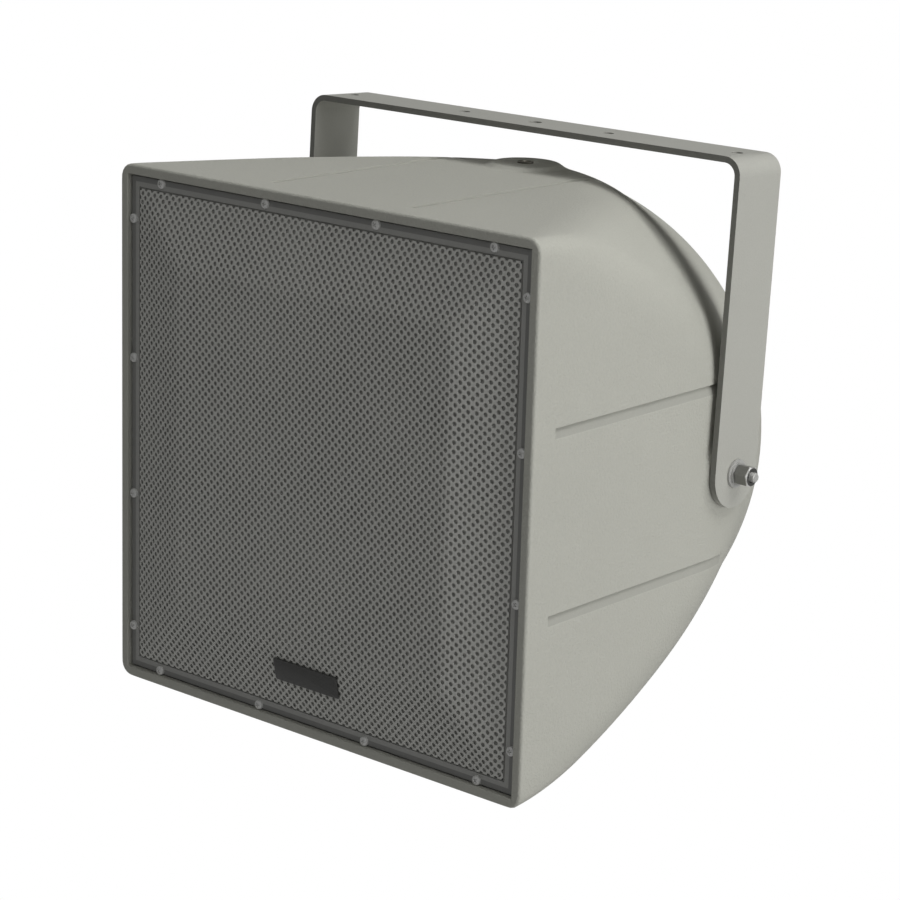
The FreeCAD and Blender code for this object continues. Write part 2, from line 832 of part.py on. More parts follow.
def make_cabinet():
    cavity = make_cavity()
    body = new_body("cabinet")
    depth = size.cabinet_depth
    drafted_block(body, "block", mouth_half, size.mouth_corner_radius, as_size(0.0), depth)
    cut_to_cone_and_sphere(body, "round_back", as_size(0.0), depth)
    back_y = behind_lip(depth).value
    base = body.Tip
    rim = edges_near(base.Shape, lambda box: box.YMin > back_y - 0.01)
    base = fillet(body, base, rim, size.back_edge_radius)
    front_y = behind_lip(0).value
    lip = edges_near(base.Shape, lambda box: box.YMax < front_y + 0.01)
    fillet(body, base, lip, size.lip_edge_radius)
    hollow = body.newObject("PartDesign::Boolean", "cabinet_hollow")
    hollow.setObjects([cavity])
    hollow.Type = "Cut"
    doc.recompute()
    opening = new_sketch(body, "opening", "xz", at_depth(0))
    draw_rectangle(opening, mouth_half - size.lip_width, mouth_half - size.lip_width)
    pocket(body, opening, size.ledge_depth)
    ledge = new_sketch(body, "ledge", "xz", at_depth(0))
    inner = mouth_half - size.lip_width - size.ledge_width
    draw_rounded(ledge, inner, inner, size.horn_mouth_radius)
    pocket(body, ledge, size.ledge_depth + size.ledge_thickness + 1.0)
    grooves = new_sketch(body, "side_grooves", "xz", at_depth(size.groove_start))
    draw_groove_section(grooves, size.groove_spacing / 2.0)
    draw_groove_section(grooves, -size.groove_spacing / 2.0)
    cut = pocket(body, grooves, size.groove_end - size.groove_start)
    ring_of(body, [cut], 4)
    input_hole = new_sketch(body, "input_opening", "xz", at_depth(size.cabinet_depth))
    draw_rounded(input_hole, size.input_opening_length / 2.0, size.input_opening_width / 2.0,
                 size.input_corner_radius, 0, -size.input_drop)
    pocket(body, input_hole, size.cabinet_wall + 1.0, forwards=True)
    back_holes = new_sketch(body, "input_screw_holes", "xz", at_depth(size.cabinet_depth))
    for x, z in input_screw_places():
        draw_circle(back_holes, x, z, size.screw_radius + size.screw_clearance)
    pocket(body, back_holes, size.cabinet_wall + 1.0, forwards=True)
    board_holes = new_sketch(body, "board_screw_holes", "xz", at_depth(back_inside))
    for x, z in board_screw_places():
        draw_circle(board_holes, x, z, size.board_screw_radius + size.seam)
    pocket(body, board_holes, size.cabinet_wall / 2.0)
    top = size.pad_height
    core_floor = top - size.pad_core_depth
    skirt = top - size.pad_flank
    raised = turn(body, "raised_pad", "z", [
        (core_floor, 0), (core_floor, size.pad_core_radius), (skirt, size.pad_core_radius),
        (skirt, size.pad_radius + size.pad_flank), (top, size.pad_radius), (top, 0)])
    ring_of(body, [raised], 4)
    socket_radius = size.insert_radius + size.insert_clearance
    socket = ring(body, "insert_socket", "z", top - size.insert_length - size.insert_room,
                  size.insert_length + size.insert_room + 1.0, socket_radius, as_size(0.0), cut=True)
    ring_of(body, [socket], 4)
    return body


# Inserts and the pivot fasteners


def make_inserts():
    body = new_body("insert_piece", hung=False, node=False)
    top = size.pad_height
    bore = size.stud_radius + size.thread_clearance
    turn(body, "shape", "z", [
        (top - size.insert_length, bore), (top - size.insert_length, size.insert_radius),
        (top, size.insert_radius), (top, bore + size.insert_chamfer), (top - size.insert_chamfer, bore)])
    return group("inserts", body, [(0, 0, 0, angle) for angle in (0, 90, 180, 270)], (0, 1, 0))


def both_sides(label, piece):
    return group(label, piece, [(0, 0, 0, 0), (0, 0, 0, 180)])


def make_pivot_fasteners():
    washer_start = arm_outside + size.pivot_gap
    small_start = washer_start + size.large_washer_thickness
    nut_start = small_start + size.small_washer_thickness
    nut_end = nut_start + size.nut_length
    large = new_body("large_washer_piece", hung=False, node=False)
    ring(large, "shape", "x", washer_start, size.large_washer_thickness, size.large_washer_radius,
         size.washer_bore_radius)
    both_sides("large_washers", large)
    small = new_body("small_washer_piece", hung=False, node=False)
    ring(small, "shape", "x", small_start, size.small_washer_thickness, size.small_washer_radius,
         size.washer_bore_radius)
    both_sides("small_washers", small)
    nut = new_body("pivot_nut_piece", hung=False, node=False)
    hexagon = new_sketch(nut, "hexagon", "yz", (0, 0, nut_start))
    draw_hexagon(hexagon, as_size(0.0), as_size(0.0), size.nut_flats)
    draw_circle(hexagon, 0, 0, size.stud_radius + size.thread_clearance)
    pad(nut, hexagon, size.nut_length)
    both_sides("pivot_nuts", nut)
    stud = new_body("pivot_stud_piece", hung=False, node=False)
    end = nut_end + size.stud_end
    turn(stud, "shape", "x", [
        (size.pad_height - size.stud_grip, 0), (size.pad_height - size.stud_grip, size.stud_radius),
        (end - size.stud_chamfer, size.stud_radius), (end, size.stud_radius - size.stud_chamfer), (end, 0)])
    both_sides("pivot_studs", stud)


# Grille: a flat flange, and a shallow crown of open mesh with the foam behind it

grille_half = mouth_half - size.lip_width - size.grille_gap
field_half = size.grille_field / 2.0
flat_half = size.crown_flat / 2.0
crown_top = grille_front - size.crown_rise
crown_run = field_half - flat_half


def make_grille():
    body = new_body("grille")
    plate(body, "flange", grille_front, size.grille_sheet,
          lambda sketch: draw_rounded(sketch, grille_half, grille_half, size.grille_corner_radius))
    corner = size.crown_corner_radius
    loft(body, "crown", [(grille_front, field_half, corner), (crown_top, flat_half, corner)], ruled=True)
    sheet_back = size.grille_sheet
    loft(body, "hollow", [
        (grille_front + sheet_back, field_half, corner),
        (crown_top + sheet_back, flat_half, corner),
    ], cut=True, ruled=True)
    drill(body, "screw_holes", grille_front + size.grille_sheet, size.grille_sheet, grille_screw_places(),
          screw_hole_radius)
    for count in (8, 7):
        # Each set of openings lies in the middle of the other's squares
        length = size.cell_pitch * (count - 1)
        first = -length / 2.0
        reach = size.cell_reach
        opening = new_sketch(body, "opening_" + str(count), "xz", at_depth(size.horn_seat))
        draw_outline(opening, [
            (first + reach, first), (first, first + reach), (first - reach, first), (first, first - reach)])
        cut = pocket(body, opening, size.crown_rise + size.grille_sheet * 2.0, forwards=True)
        rows_and_columns(body, cut, length, count)
    return body


def make_grille_foam():
    body = new_body("grille_foam")
    corner = size.crown_corner_radius
    start = size.horn_seat
    top = crown_top + size.grille_sheet + size.foam_gap
    outer = field_half - size.foam_inset
    slope = (outer - flat_half) / (start - top)
    inner = outer - size.foam_thickness * slope
    loft(body, "outside", [(start, outer, corner), (top, flat_half, corner)], ruled=True)
    loft(body, "inside", [(start, inner, corner), (top + size.foam_thickness, flat_half, corner)],
         cut=True, ruled=True)
    return body


def make_grille_badge():
    """A plain plate that lies on the crown's lower slope."""
    body = new_body("grille_badge")
    sketch = new_sketch(body, "section", "yz")
    slope = root(size.crown_rise * size.crown_rise + crown_run * crown_run)
    along_y, along_z = size.crown_rise / slope, crown_run / slope
    middle_y = behind_lip(crown_top + (size.badge_drop - flat_half) * size.crown_rise / crown_run)
    half = size.badge_width / 2.0
    low = (middle_y + half * along_y, -size.badge_drop - half * along_z)
    high = (middle_y - half * along_y, -size.badge_drop + half * along_z)
    out_y, out_z = size.badge_thickness * along_z, size.badge_thickness * along_y
    draw_outline(sketch, [low, high, (high[0] - out_y, high[1] - out_z), (low[0] - out_y, low[1] - out_z)])
    pad(body, sketch, size.badge_length, midplane=True)
    return body


# Bass horn: square mouth, round throat, with two lugs that hold the treble horn's bracket

def flare_half(depth):
    """Half width of the horn's passage behind its waist."""
    waist = size.horn_waist / 2.0
    fall = (waist - size.throat_radius) / (size.throat_depth - size.horn_waist_depth)
    return waist - (depth - size.horn_waist_depth) * fall


def bracket_half():
    """Half length of the treble horn's bracket, which ends short of the passage's walls."""
    return flare_half(size.bracket_depth + size.bracket_thickness) - size.bracket_end_gap


def horn_sections(wall, first, last):
    radius = size.throat_radius + wall
    return [
        (first, size.horn_mouth / 2.0 + wall, size.horn_mouth_radius + wall),
        (size.horn_waist_depth, size.horn_waist / 2.0 + wall, size.horn_waist_radius + wall),
        (last, radius, radius - size.seam),
    ]


def make_bass_horn():
    body = new_body("bass_horn")
    flange_half = mouth_half - size.lip_width - size.horn_flange_gap
    flange_thickness = size.ledge_depth - size.horn_seat
    plate(body, "flange", size.horn_seat, flange_thickness,
          lambda sketch: draw_rounded(sketch, flange_half, flange_half, size.grille_corner_radius))
    loft(body, "outside", horn_sections(size.horn_wall, size.ledge_depth, throat_end), ruled=True)
    plate(body, "throat_ring", size.throat_depth, size.throat_ring_thickness,
          lambda sketch: draw_circle(sketch, 0, 0, size.throat_ring_radius))
    passage = horn_sections(as_size(0.0), size.horn_seat, size.throat_depth)
    loft(body, "passage", passage, cut=True, ruled=True)
    drill(body, "throat", throat_end, size.throat_ring_thickness, [(0, 0)], size.throat_radius)
    drill(body, "grille_screw_holes", size.horn_seat + size.grille_screw_length - size.grille_sheet
          + size.screw_tip_room, size.grille_screw_length, grille_screw_places(), screw_hole_radius)
    drill(body, "woofer_screw_holes", throat_end, size.throat_ring_thickness - size.screw_tip_room,
          woofer_screw_places(), screw_hole_radius)
    front = size.bracket_depth + size.bracket_thickness
    back = front + size.lug_depth
    tip = bracket_half() - size.lug_length
    half_wall = size.horn_wall / 2.0
    lug = new_sketch(body, "lug", "xy")
    draw_outline(lug, [
        (tip, behind_lip(front)), (flare_half(front) + half_wall, behind_lip(front)),
        (flare_half(back) + half_wall, behind_lip(back)), (tip, behind_lip(back))])
    block = pad(body, lug, size.lug_width, midplane=True)
    doc.recompute()
    mirror(body, block, "yz")
    drill(body, "bracket_screw_holes", front + size.bracket_screw_length - size.bracket_thickness
          + size.screw_tip_room, size.bracket_screw_length, bracket_screw_places(), screw_hole_radius)
    return body


# Woofer

plate_front = basket_front + size.basket_length
magnet_front = plate_front + size.top_plate_thickness
back_plate_front = magnet_front + size.magnet_thickness


def make_woofer_gasket():
    body = new_body("woofer_gasket")
    start = behind_lip(throat_end)
    ring(body, "ring", "y", start, size.gasket_thickness, size.basket_radius, size.woofer_gasket_radius)
    drill(body, "screw_holes", basket_front, size.gasket_thickness, woofer_screw_places(), screw_hole_radius)
    return body


def make_woofer_basket():
    body = new_body("woofer_basket")
    front = basket_front
    flange_back = front + size.basket_flange_thickness
    wall = size.basket_wall
    ledge = front + size.basket_ledge_depth
    back = front + size.basket_length
    turned(body, "shape", [
        (front, size.basket_opening_radius),
        (front, size.basket_radius),
        (flange_back, size.basket_radius),
        (flange_back, size.basket_shoulder_radius),
        (ledge + wall, size.basket_ledge_radius + size.basket_ledge_width + wall),
        (ledge + wall, size.basket_ledge_radius + wall),
        (back, size.basket_back_radius),
        (back, size.basket_back_opening_radius),
        (back - wall, size.basket_back_opening_radius),
        (back - wall, size.basket_back_radius - wall),
        (ledge + wall, size.basket_ledge_radius),
        (ledge, size.basket_ledge_radius),
        (ledge, size.basket_ledge_radius + size.basket_ledge_width),
        (flange_back, size.basket_shoulder_radius - wall * 1.2),
        (flange_back, size.basket_opening_radius),
    ])
    drill(body, "screw_holes", flange_back, size.basket_flange_thickness, woofer_screw_places(),
          screw_hole_radius)
    windows = new_sketch(body, "windows", "yz")
    half = size.basket_window_width / 2.0
    first, last = front + size.basket_window_start, front + size.basket_window_end
    draw_outline(windows, [
        (behind_lip(last), half),
        (behind_lip(first), half),
        (behind_lip(first), -half),
        (behind_lip(last), -half),
    ])
    cut = pocket(body, windows, size.basket_radius * 2.0, midplane=True)
    spread = ring_of(body, [cut], 3)
    spread.Angle = 120.0
    return body


def make_motor():
    top = new_body("top_plate")
    ring(top, "ring", "y", behind_lip(plate_front), size.top_plate_thickness, size.top_plate_radius,
         size.coil_gap_radius)
    magnet = new_body("magnet")
    ring(magnet, "ring", "y", behind_lip(magnet_front), size.magnet_thickness, size.magnet_radius,
         size.magnet_bore_radius)
    back = new_body("back_plate")
    end = back_plate_front + size.back_plate_thickness
    turned(back, "shape", [
        (plate_front, size.pole_vent_radius),
        (plate_front, size.pole_radius),
        (back_plate_front, size.pole_radius),
        (back_plate_front, size.back_plate_radius),
        (end, size.back_plate_radius),
        (end, size.pole_vent_radius),
    ])


def cone_front(radius):
    """Depth of the cone's front face at a distance from its axis."""
    bend = size.cone_rim_radius - size.cone_rim_width
    neck = size.former_radius + size.seam
    return basket_front + size.cone_depth * (bend - radius) / (bend - neck)


def make_cone():
    body = new_body("cone")
    neck = size.former_radius + size.seam
    bend = size.cone_rim_radius - size.cone_rim_width
    front = basket_front
    end = front + size.cone_depth
    turned(body, "shape", [
        (front, bend), (front, size.cone_rim_radius), (front + size.cone_sheet, size.cone_rim_radius),
        (front + size.cone_sheet, bend), (end + size.cone_sheet, neck), (end, neck)])
    return body


def make_dust_cap():
    body = new_body("dust_cap")
    rise, reach, thin = size.dust_cap_rise, size.dust_cap_radius, size.dust_cap_sheet
    rim = cone_front(reach) - size.seam
    outer = (reach * reach + rise * rise) / (rise * 2.0)
    centre = rim - rise + outer
    inner = outer - thin
    inner_reach = hypotenuse_leg(inner, centre - rim)
    turned(body, "shape", [
        (rim, inner_reach), (rim, reach), (rim - rise, 0), (rim - rise + thin, 0)],
        {1: (outer, 1), 3: (inner, -1)})
    return body


def make_voice_coil():
    body = new_body("voice_coil")
    start = basket_front + size.cone_depth - size.former_front
    middle = plate_front + size.top_plate_thickness / 2.0
    end = middle + size.winding_length / 2.0
    inside = size.former_radius - size.former_wall
    outside = size.former_radius + size.winding_wall
    turned(body, "shape", [
        (start, inside), (start, size.former_radius), (end - size.winding_length, size.former_radius),
        (end - size.winding_length, outside), (end, outside), (end, inside)])
    return body


def make_surround():
    body = new_body("surround")
    back = basket_front
    front = back - size.surround_sheet
    roll = size.surround_roll_radius
    half = size.surround_roll_width / 2.0
    outer = size.basket_opening_radius
    inner = outer - size.surround_roll_width
    thin = size.surround_sheet
    # The roll's two faces share one centre, a little behind its front land
    centre = hypotenuse_leg(roll, half)
    inside = root((half - thin) * (half - thin) + (centre - thin) * (centre - thin))
    turned(body, "shape", [
        (back, outer + size.surround_land), (front, outer + size.surround_land), (front, outer),
        (front, inner), (front, inner - size.surround_inner_land), (back, inner - size.surround_inner_land),
        (back, inner + thin), (back, outer - thin)],
        {2: (roll, 1), 6: (inside, -1)})
    return body


def make_spider():
    body = new_body("spider")
    back = basket_front + size.basket_ledge_depth
    front = back - size.spider_sheet
    inner = size.former_radius + size.seam
    land = size.basket_ledge_radius
    count = 8
    front_side = [(front, inner)]
    back_side = [(back, inner)]
    for number in range(1, count):
        radius = inner + (land - inner) * number / count
        swing = size.spider_ridge * (1.0 if number % 2 else -1.0)
        front_side.append((front + swing, radius))
        back_side.append((back + swing, radius))
    rim = land + size.basket_ledge_width - size.seam
    points = front_side + [(front, land), (front, rim), (back, rim), (back, land)] + back_side[::-1]
    turned(body, "shape", points)
    return body


# Treble horn, on a bracket across the bass horn, with its driver behind

def make_treble_horn():
    body = new_body("treble_horn")
    back = size.bracket_depth
    flange = back - size.treble_flange_thickness

    def sections(wall):
        radius = size.treble_throat_radius + wall
        return [
            (size.treble_mouth_depth, size.treble_mouth / 2.0 + wall, size.treble_mouth_radius + wall),
            (size.treble_waist_depth, size.treble_waist / 2.0 + wall, size.treble_waist_radius + wall),
            (flange, radius, radius - size.seam),
        ]

    loft(body, "outside", sections(size.treble_wall), ruled=True)
    plate(body, "flange", flange, size.treble_flange_thickness,
          lambda sketch: draw_circle(sketch, 0, 0, size.treble_flange_radius))
    loft(body, "passage", sections(as_size(0.0)), cut=True, ruled=True)
    drill(body, "throat", back, size.treble_flange_thickness, [(0, 0)], size.treble_throat_radius)
    drill(body, "screw_holes", back, size.treble_flange_thickness, driver_screw_places(), screw_hole_radius)
    return body


def make_treble_bracket():
    body = new_body("treble_bracket")
    front = size.bracket_depth
    thick = size.bracket_thickness
    plate(body, "bar", front, thick,
          lambda sketch: draw_rectangle(sketch, bracket_half(), size.bracket_width / 2.0))
    plate(body, "eye", front, thick, lambda sketch: draw_circle(sketch, 0, 0, size.bracket_eye_radius))
    drill(body, "throat", front + thick, thick, [(0, 0)], size.treble_throat_radius)
    drill(body, "driver_screw_holes", front + thick, thick, driver_screw_places(), screw_hole_radius)
    drill(body, "bracket_screw_holes", front + thick, thick, bracket_screw_places(), screw_hole_radius)
    return body


def make_treble_driver():
    body = new_body("treble_driver")
    start = size.bracket_depth + size.bracket_thickness
    step = start + size.driver_length
    end = step + size.driver_cap_length
    edge = size.driver_edge
    mouth = start + size.driver_mouth_depth
    turned(body, "shape", [
        (start, size.treble_throat_radius),
        (start, size.driver_radius),
        (step - edge, size.driver_radius),
        (step, size.driver_radius - edge),
        (step, size.driver_cap_radius),
        (end - edge, size.driver_cap_radius),
        (end, size.driver_cap_radius - edge),
        (end, 0),
        (mouth, 0),
        (mouth, size.treble_throat_radius),
    ])
    in_driver = size.driver_screw_length - size.treble_flange_thickness - size.bracket_thickness
    drill(body, "screw_holes", start + in_driver + size.screw_tip_room, in_driver + size.screw_tip_room,
          driver_screw_places(), screw_hole_radius)
    return body


# Crossover, on the inside of the back

board_back = back_inside - size.standoff_length
board_front = board_back - size.board_thickness


def make_crossover():
    board = new_body("crossover_board")
    plate(board, "board", board_front, size.board_thickness, lambda sketch: draw_rectangle(
        sketch, size.board_length / 2.0, size.board_width / 2.0, 0, board_rise))
    bore = size.board_screw_radius + size.seam
    drill(board, "screw_holes", board_back, size.board_thickness, board_screw_places(), bore)
    standoff = new_body("standoff_piece", hung=False, node=False)
    ring(standoff, "shape", "y", as_size(0.0), size.standoff_length, size.standoff_radius, bore)
    group("board_standoffs", standoff, [(x, behind_lip(board_back), z, 0) for x, z in board_screw_places()])
    screw = make_screw("board_screw_piece", size.board_screw_radius, size.board_screw_length,
                       size.board_screw_head_radius, size.board_screw_head_height, size.screw_head_edge / 2.0)
    group("board_screws", screw, [(x, behind_lip(board_front), z, 0) for x, z in board_screw_places()])
    inductor = new_body("inductor_piece", hung=False, node=False)
    ring(inductor, "shape", "y", -size.inductor_height, size.inductor_height, size.inductor_radius,
         size.inductor_core_radius)
    rise = board_rise + size.inductor_rise
    group("inductors", inductor, [
        (size.inductor_pitch * step, behind_lip(board_front), rise, 0) for step in (-0.5, 0.5)])
    capacitor = new_body("capacitor_piece", hung=False, node=False)
    ring(capacitor, "shape", "x", -size.capacitor_length / 2.0, size.capacitor_length, size.capacitor_radius,
         as_size(0.0))
    rise = board_rise - size.capacitor_drop
    group("capacitors", capacitor, [
        (size.capacitor_pitch * step, behind_lip(board_front) - size.capacitor_radius, rise, 0)
        for step in (-0.5, 0.5)])
    resistor = new_body("resistor")
    low = board_rise - size.resistor_drop
    thick = size.resistor_size
    plate(resistor, "block", board_front - thick, thick, lambda sketch: draw_rectangle(
        sketch, size.resistor_length / 2.0, thick / 2.0, 0, low))


# Input: a cover over the opening in the back, with the terminals inside it and a gland for the cable

cover_front = size.cabinet_depth + size.input_gasket_thickness
cover_back = cover_front + size.input_cover_thickness


def make_input():
    drop = -size.input_drop
    half_length, half_width = size.input_length / 2.0, size.input_width / 2.0
    gasket = new_body("input_gasket")

    def draw_gasket(sketch):
        draw_rounded(sketch, half_length, half_width, size.input_corner_radius, 0, drop)
        draw_rounded(sketch, size.input_opening_length / 2.0, size.input_opening_width / 2.0,
                     size.input_corner_radius, 0, drop)
        for x, z in input_screw_places():
            draw_circle(sketch, x, z, screw_hole_radius)

    plate(gasket, "sheet", size.cabinet_depth, size.input_gasket_thickness, draw_gasket)
    cover = new_body("input_cover")

    def draw_cover(sketch):
        draw_rounded(sketch, half_length, half_width, size.input_corner_radius, 0, drop)
        draw_circle(sketch, size.gland_offset, drop, size.gland_thread_radius + size.gland_clearance)
        for x, z in input_screw_places():
            draw_circle(sketch, x, z, screw_hole_radius)

    plate(cover, "sheet", cover_front, size.input_cover_thickness, draw_cover)
    screws("input_screws", size.input_screw_length, cover_back, input_screw_places(), 180)
    strip = new_body("terminal_strip")
    plate(strip, "block", cover_front - size.strip_height, size.strip_height, lambda sketch: draw_rectangle(
        sketch, size.strip_length / 2.0, size.strip_width / 2.0, -size.strip_offset, drop))
    gland = new_body("cable_gland")
    shift = (0, drop, size.gland_offset)
    dome_end = cover_back + size.gland_hex_length + size.gland_dome_length
    turned(gland, "tube", [
        (cover_back - size.gland_thread_length, size.gland_bore_radius),
        (cover_back - size.gland_thread_length, size.gland_thread_radius),
        (cover_back, size.gland_thread_radius),
        (cover_back, size.gland_dome_radius),
        (dome_end - size.gland_dome_edge, size.gland_dome_radius),
        (dome_end, size.gland_dome_radius - size.gland_dome_edge),
        (dome_end, size.gland_bore_radius),
    ], None, shift)
    hexagon = new_sketch(gland, "hexagon", "xz", at_depth(cover_back))
    draw_hexagon(hexagon, size.gland_offset, drop, size.gland_flats)
    draw_circle(hexagon, size.gland_offset, drop, size.gland_bore_radius)
    pad(gland, hexagon, size.gland_hex_length, backwards=True)
    nut = new_body("gland_nut")

    def draw_nut(sketch):
        draw_hexagon(sketch, size.gland_offset, drop, size.gland_flats)
        draw_circle(sketch, size.gland_offset, drop, size.gland_thread_radius + size.thread_clearance)

    plate(nut, "hexagon", cover_front - size.gland_nut_length, size.gland_nut_length, draw_nut)


make_yoke()
make_cabinet()
make_inserts()
make_pivot_fasteners()
make_grille()
make_grille_foam()
make_grille_badge()
screws("grille_screws", size.grille_screw_length, grille_front, grille_screw_places())
make_bass_horn()
make_woofer_gasket()
make_woofer_basket()
screws("woofer_screws", size.woofer_screw_length, basket_front + size.basket_flange_thickness,
       woofer_screw_places(), 180)
make_motor()
make_cone()
make_dust_cap()
make_voice_coil()
make_surround()
make_spider()
make_treble_horn()
make_treble_bracket()
make_treble_driver()
screws("bracket_screws", size.bracket_screw_length, size.bracket_depth, bracket_screw_places())
screws("driver_screws", size.driver_screw_length, size.bracket_depth - size.treble_flange_thickness,
       driver_screw_places())
make_crossover()
make_input()


# Checks and export

doc.recompute()
for target, path, expected in bound:
    formulas = {name.lstrip("."): formula for name, formula in target.ExpressionEngine}
    found = target.evalExpression(formulas[path])
    found = getattr(found, "Value", found)
    if abs(found - expected) > 1e-6:
        raise ValueError(target.Name + " " + path + " is " + str(found) + ", not " + str(expected))
for part in doc.Objects:
    if "Invalid" in part.State or "Error" in part.State:
        raise ValueError(part.Name + " failed: " + str(part.State))
os.makedirs("parts", exist_ok=True)
for node in nodes:
    shape = node.Shape
    if shape.isNull() or not shape.isValid():
        raise ValueError(node.Label + " has no valid shape")
    shape.exportStep("parts/" + node.Label + ".step")
    box = shape.BoundBox
    print(node.Label, len(shape.Solids), round(shape.Volume / 1000.0, 1), "cm3",
          [round(value, 1) for value in (box.XMin, box.XMax, box.YMin, box.YMax, box.ZMin, box.ZMax)])
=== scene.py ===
import json
import math

import bpy
from mathutils import Matrix, Vector


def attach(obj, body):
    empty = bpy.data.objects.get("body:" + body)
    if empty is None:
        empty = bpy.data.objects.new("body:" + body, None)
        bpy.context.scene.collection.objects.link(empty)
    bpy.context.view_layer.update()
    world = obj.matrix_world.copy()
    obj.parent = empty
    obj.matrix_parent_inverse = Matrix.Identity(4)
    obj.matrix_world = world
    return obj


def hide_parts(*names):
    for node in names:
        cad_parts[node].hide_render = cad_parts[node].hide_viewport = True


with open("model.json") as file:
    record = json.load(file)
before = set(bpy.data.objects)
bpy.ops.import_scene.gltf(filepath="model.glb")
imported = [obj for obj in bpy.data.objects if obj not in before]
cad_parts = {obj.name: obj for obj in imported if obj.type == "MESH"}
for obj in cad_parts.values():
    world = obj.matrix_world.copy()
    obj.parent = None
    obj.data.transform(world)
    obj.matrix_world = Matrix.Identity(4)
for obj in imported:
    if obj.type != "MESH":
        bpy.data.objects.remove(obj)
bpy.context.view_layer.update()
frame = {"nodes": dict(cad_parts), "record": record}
scene = bpy.context.scene

# Sizes are in millimetres, as in the CAD part. Depths (s) are counted from the front of the mouth's lip, and x and z
# from the horn's axis.
AIM_DEGREES = 2.45
YOKE_DROP = 302.0
PIVOT_DEPTH = 298.5

# The cabinet's moulding
MOUTH_HALF = 260.85
DRAFT = math.tan(math.radians(0.28))
CORNER = 12.0
LIP_ROUND = 3.2
OPENING_HALF = 251.0
OPENING_ROUND = 0.7
LEDGE_DEPTH = 14.0
SPHERE_R = 262.6
SPHERE_S = 270.0
BACK_S = 447.0
BACK_ROUND = 10.0

# (depth, radius) of the round form in the cabinet's corners, as far as the sphere
CORNER_LINE = [(-50, 392.5), (0, 378.0), (50, 362.4), (100, 347.3), (150, 332.2), (200, 315.4), (250, 297.0),
               (290, 280.0), (330, 260.8), (360, 246.4), (380, 238.6)]

# The grooves have a level floor on the top and bottom. On the left and right it is a ramp, and the pairs give its
# upper and its lower edge's depth and drop.
GROOVE_X = 86.5
GROOVE_HALF = 4.4
FLOOR_HALF = 3.1
GROOVE_START = 31.0
GROOVE_EDGE = MOUTH_HALF - GROOVE_START * DRAFT
LEVEL_DEPTH = 4.0
RAMP_DEPTHS = (4.8, 0.3)
RAMP_DROPS = (1.2, 3.7)
# A ramp's floor gets painted shade, a darker colour, as far as it lies this deep under the skin, and its shallow edge
# gets it all along
PAINTED_DEPTH = 0.5
SHALLOW_DEPTH = 1.0
# Which way along a side is down: top, right, bottom and left
SIDE_LEANS = (0, 1, 0, -1)

# The pads with their stud sockets, and the rings that follow a pad's flank into the skin
PAD_TOP = 262.8
PAD_R = 34.0
PAD_EDGE_BLEND = 2.5
PAD_FOOT_BLEND = 5.0
PAD_DIP = 0.08
PAD_DIP_START = 3.5
PAD_RINGS = [20, 27, 30, 31.5, 32.5, 33.2, 33.8, 34.4, 35, 35.6, 36.2, 36.9, 37.7, 38.6, 39.6, 40.8, 42.2, 44, 46, 49,
             53, 57, 62]
PAD_STEPS = 96
SOCKET_R = 8.05
SOCKET_DEPTH = 23.0
SOCKET_EDGE = 0.5

# The grille: its open field, the pressed line and bare margin round it, and its crown
GRILLE_FRONT = 4.5
GRILLE_BACK = 6.0
GRILLE_HALF = 249.5
GRILLE_EDGE = 0.5
FIELD = 237.8
MARGIN = 6.2
LINE_EDGES = (0.3, 1.2, 1.5)
LINE_DEPTH = 1.4
CROWN_FLAT = 172.0
CROWN_EDGE = 240.0
CROWN_RISE = 14.5
CROWN_CORNER = 12.0
CROWN_TOP_BLEND = 0.07
CROWN_FOOT_BLEND = 0.05
HOLES_PER_HALF = 56
HOLE_STEP = FIELD / HOLES_PER_HALF
HOLE_R = 2.25
HOLE_WALL = 1.2

hang = Matrix.Translation((0, 0, -YOKE_DROP / 1000)) @ Matrix.Rotation(math.radians(AIM_DEGREES), 4, "X")


def cab(x, s, z):
    """A point of the cabinet's own frame (mm, s behind the lip) in the shared frame (m)."""
    return hang @ Vector((x / 1000, (s - PIVOT_DEPTH) / 1000, z / 1000))


# Materials

MIX_A, MIX_B, MIX_RESULT = 6, 7, 2  # the colour sockets of a Mix node
ROUGH_SWING = 0.08


def add(tree, kind, **settings):
    """Adds a node. A setting that starts with an underscore is an input's value."""
    node = tree.nodes.new(kind)
    for key, value in settings.items():
        if key.startswith("_"):
            node.inputs[key[1:].replace("_", " ")].default_value = value
        else:
            setattr(node, key, value)
    return node


def scaled(tree, tone, factor):
    """A colour times a factor, as a node's output."""
    shade = add(tree, "ShaderNodeVectorMath", operation="SCALE")
    tree.links.new(tone, shade.inputs[0])
    tree.links.new(factor, shade.inputs["Scale"])
    return shade.outputs["Vector"]


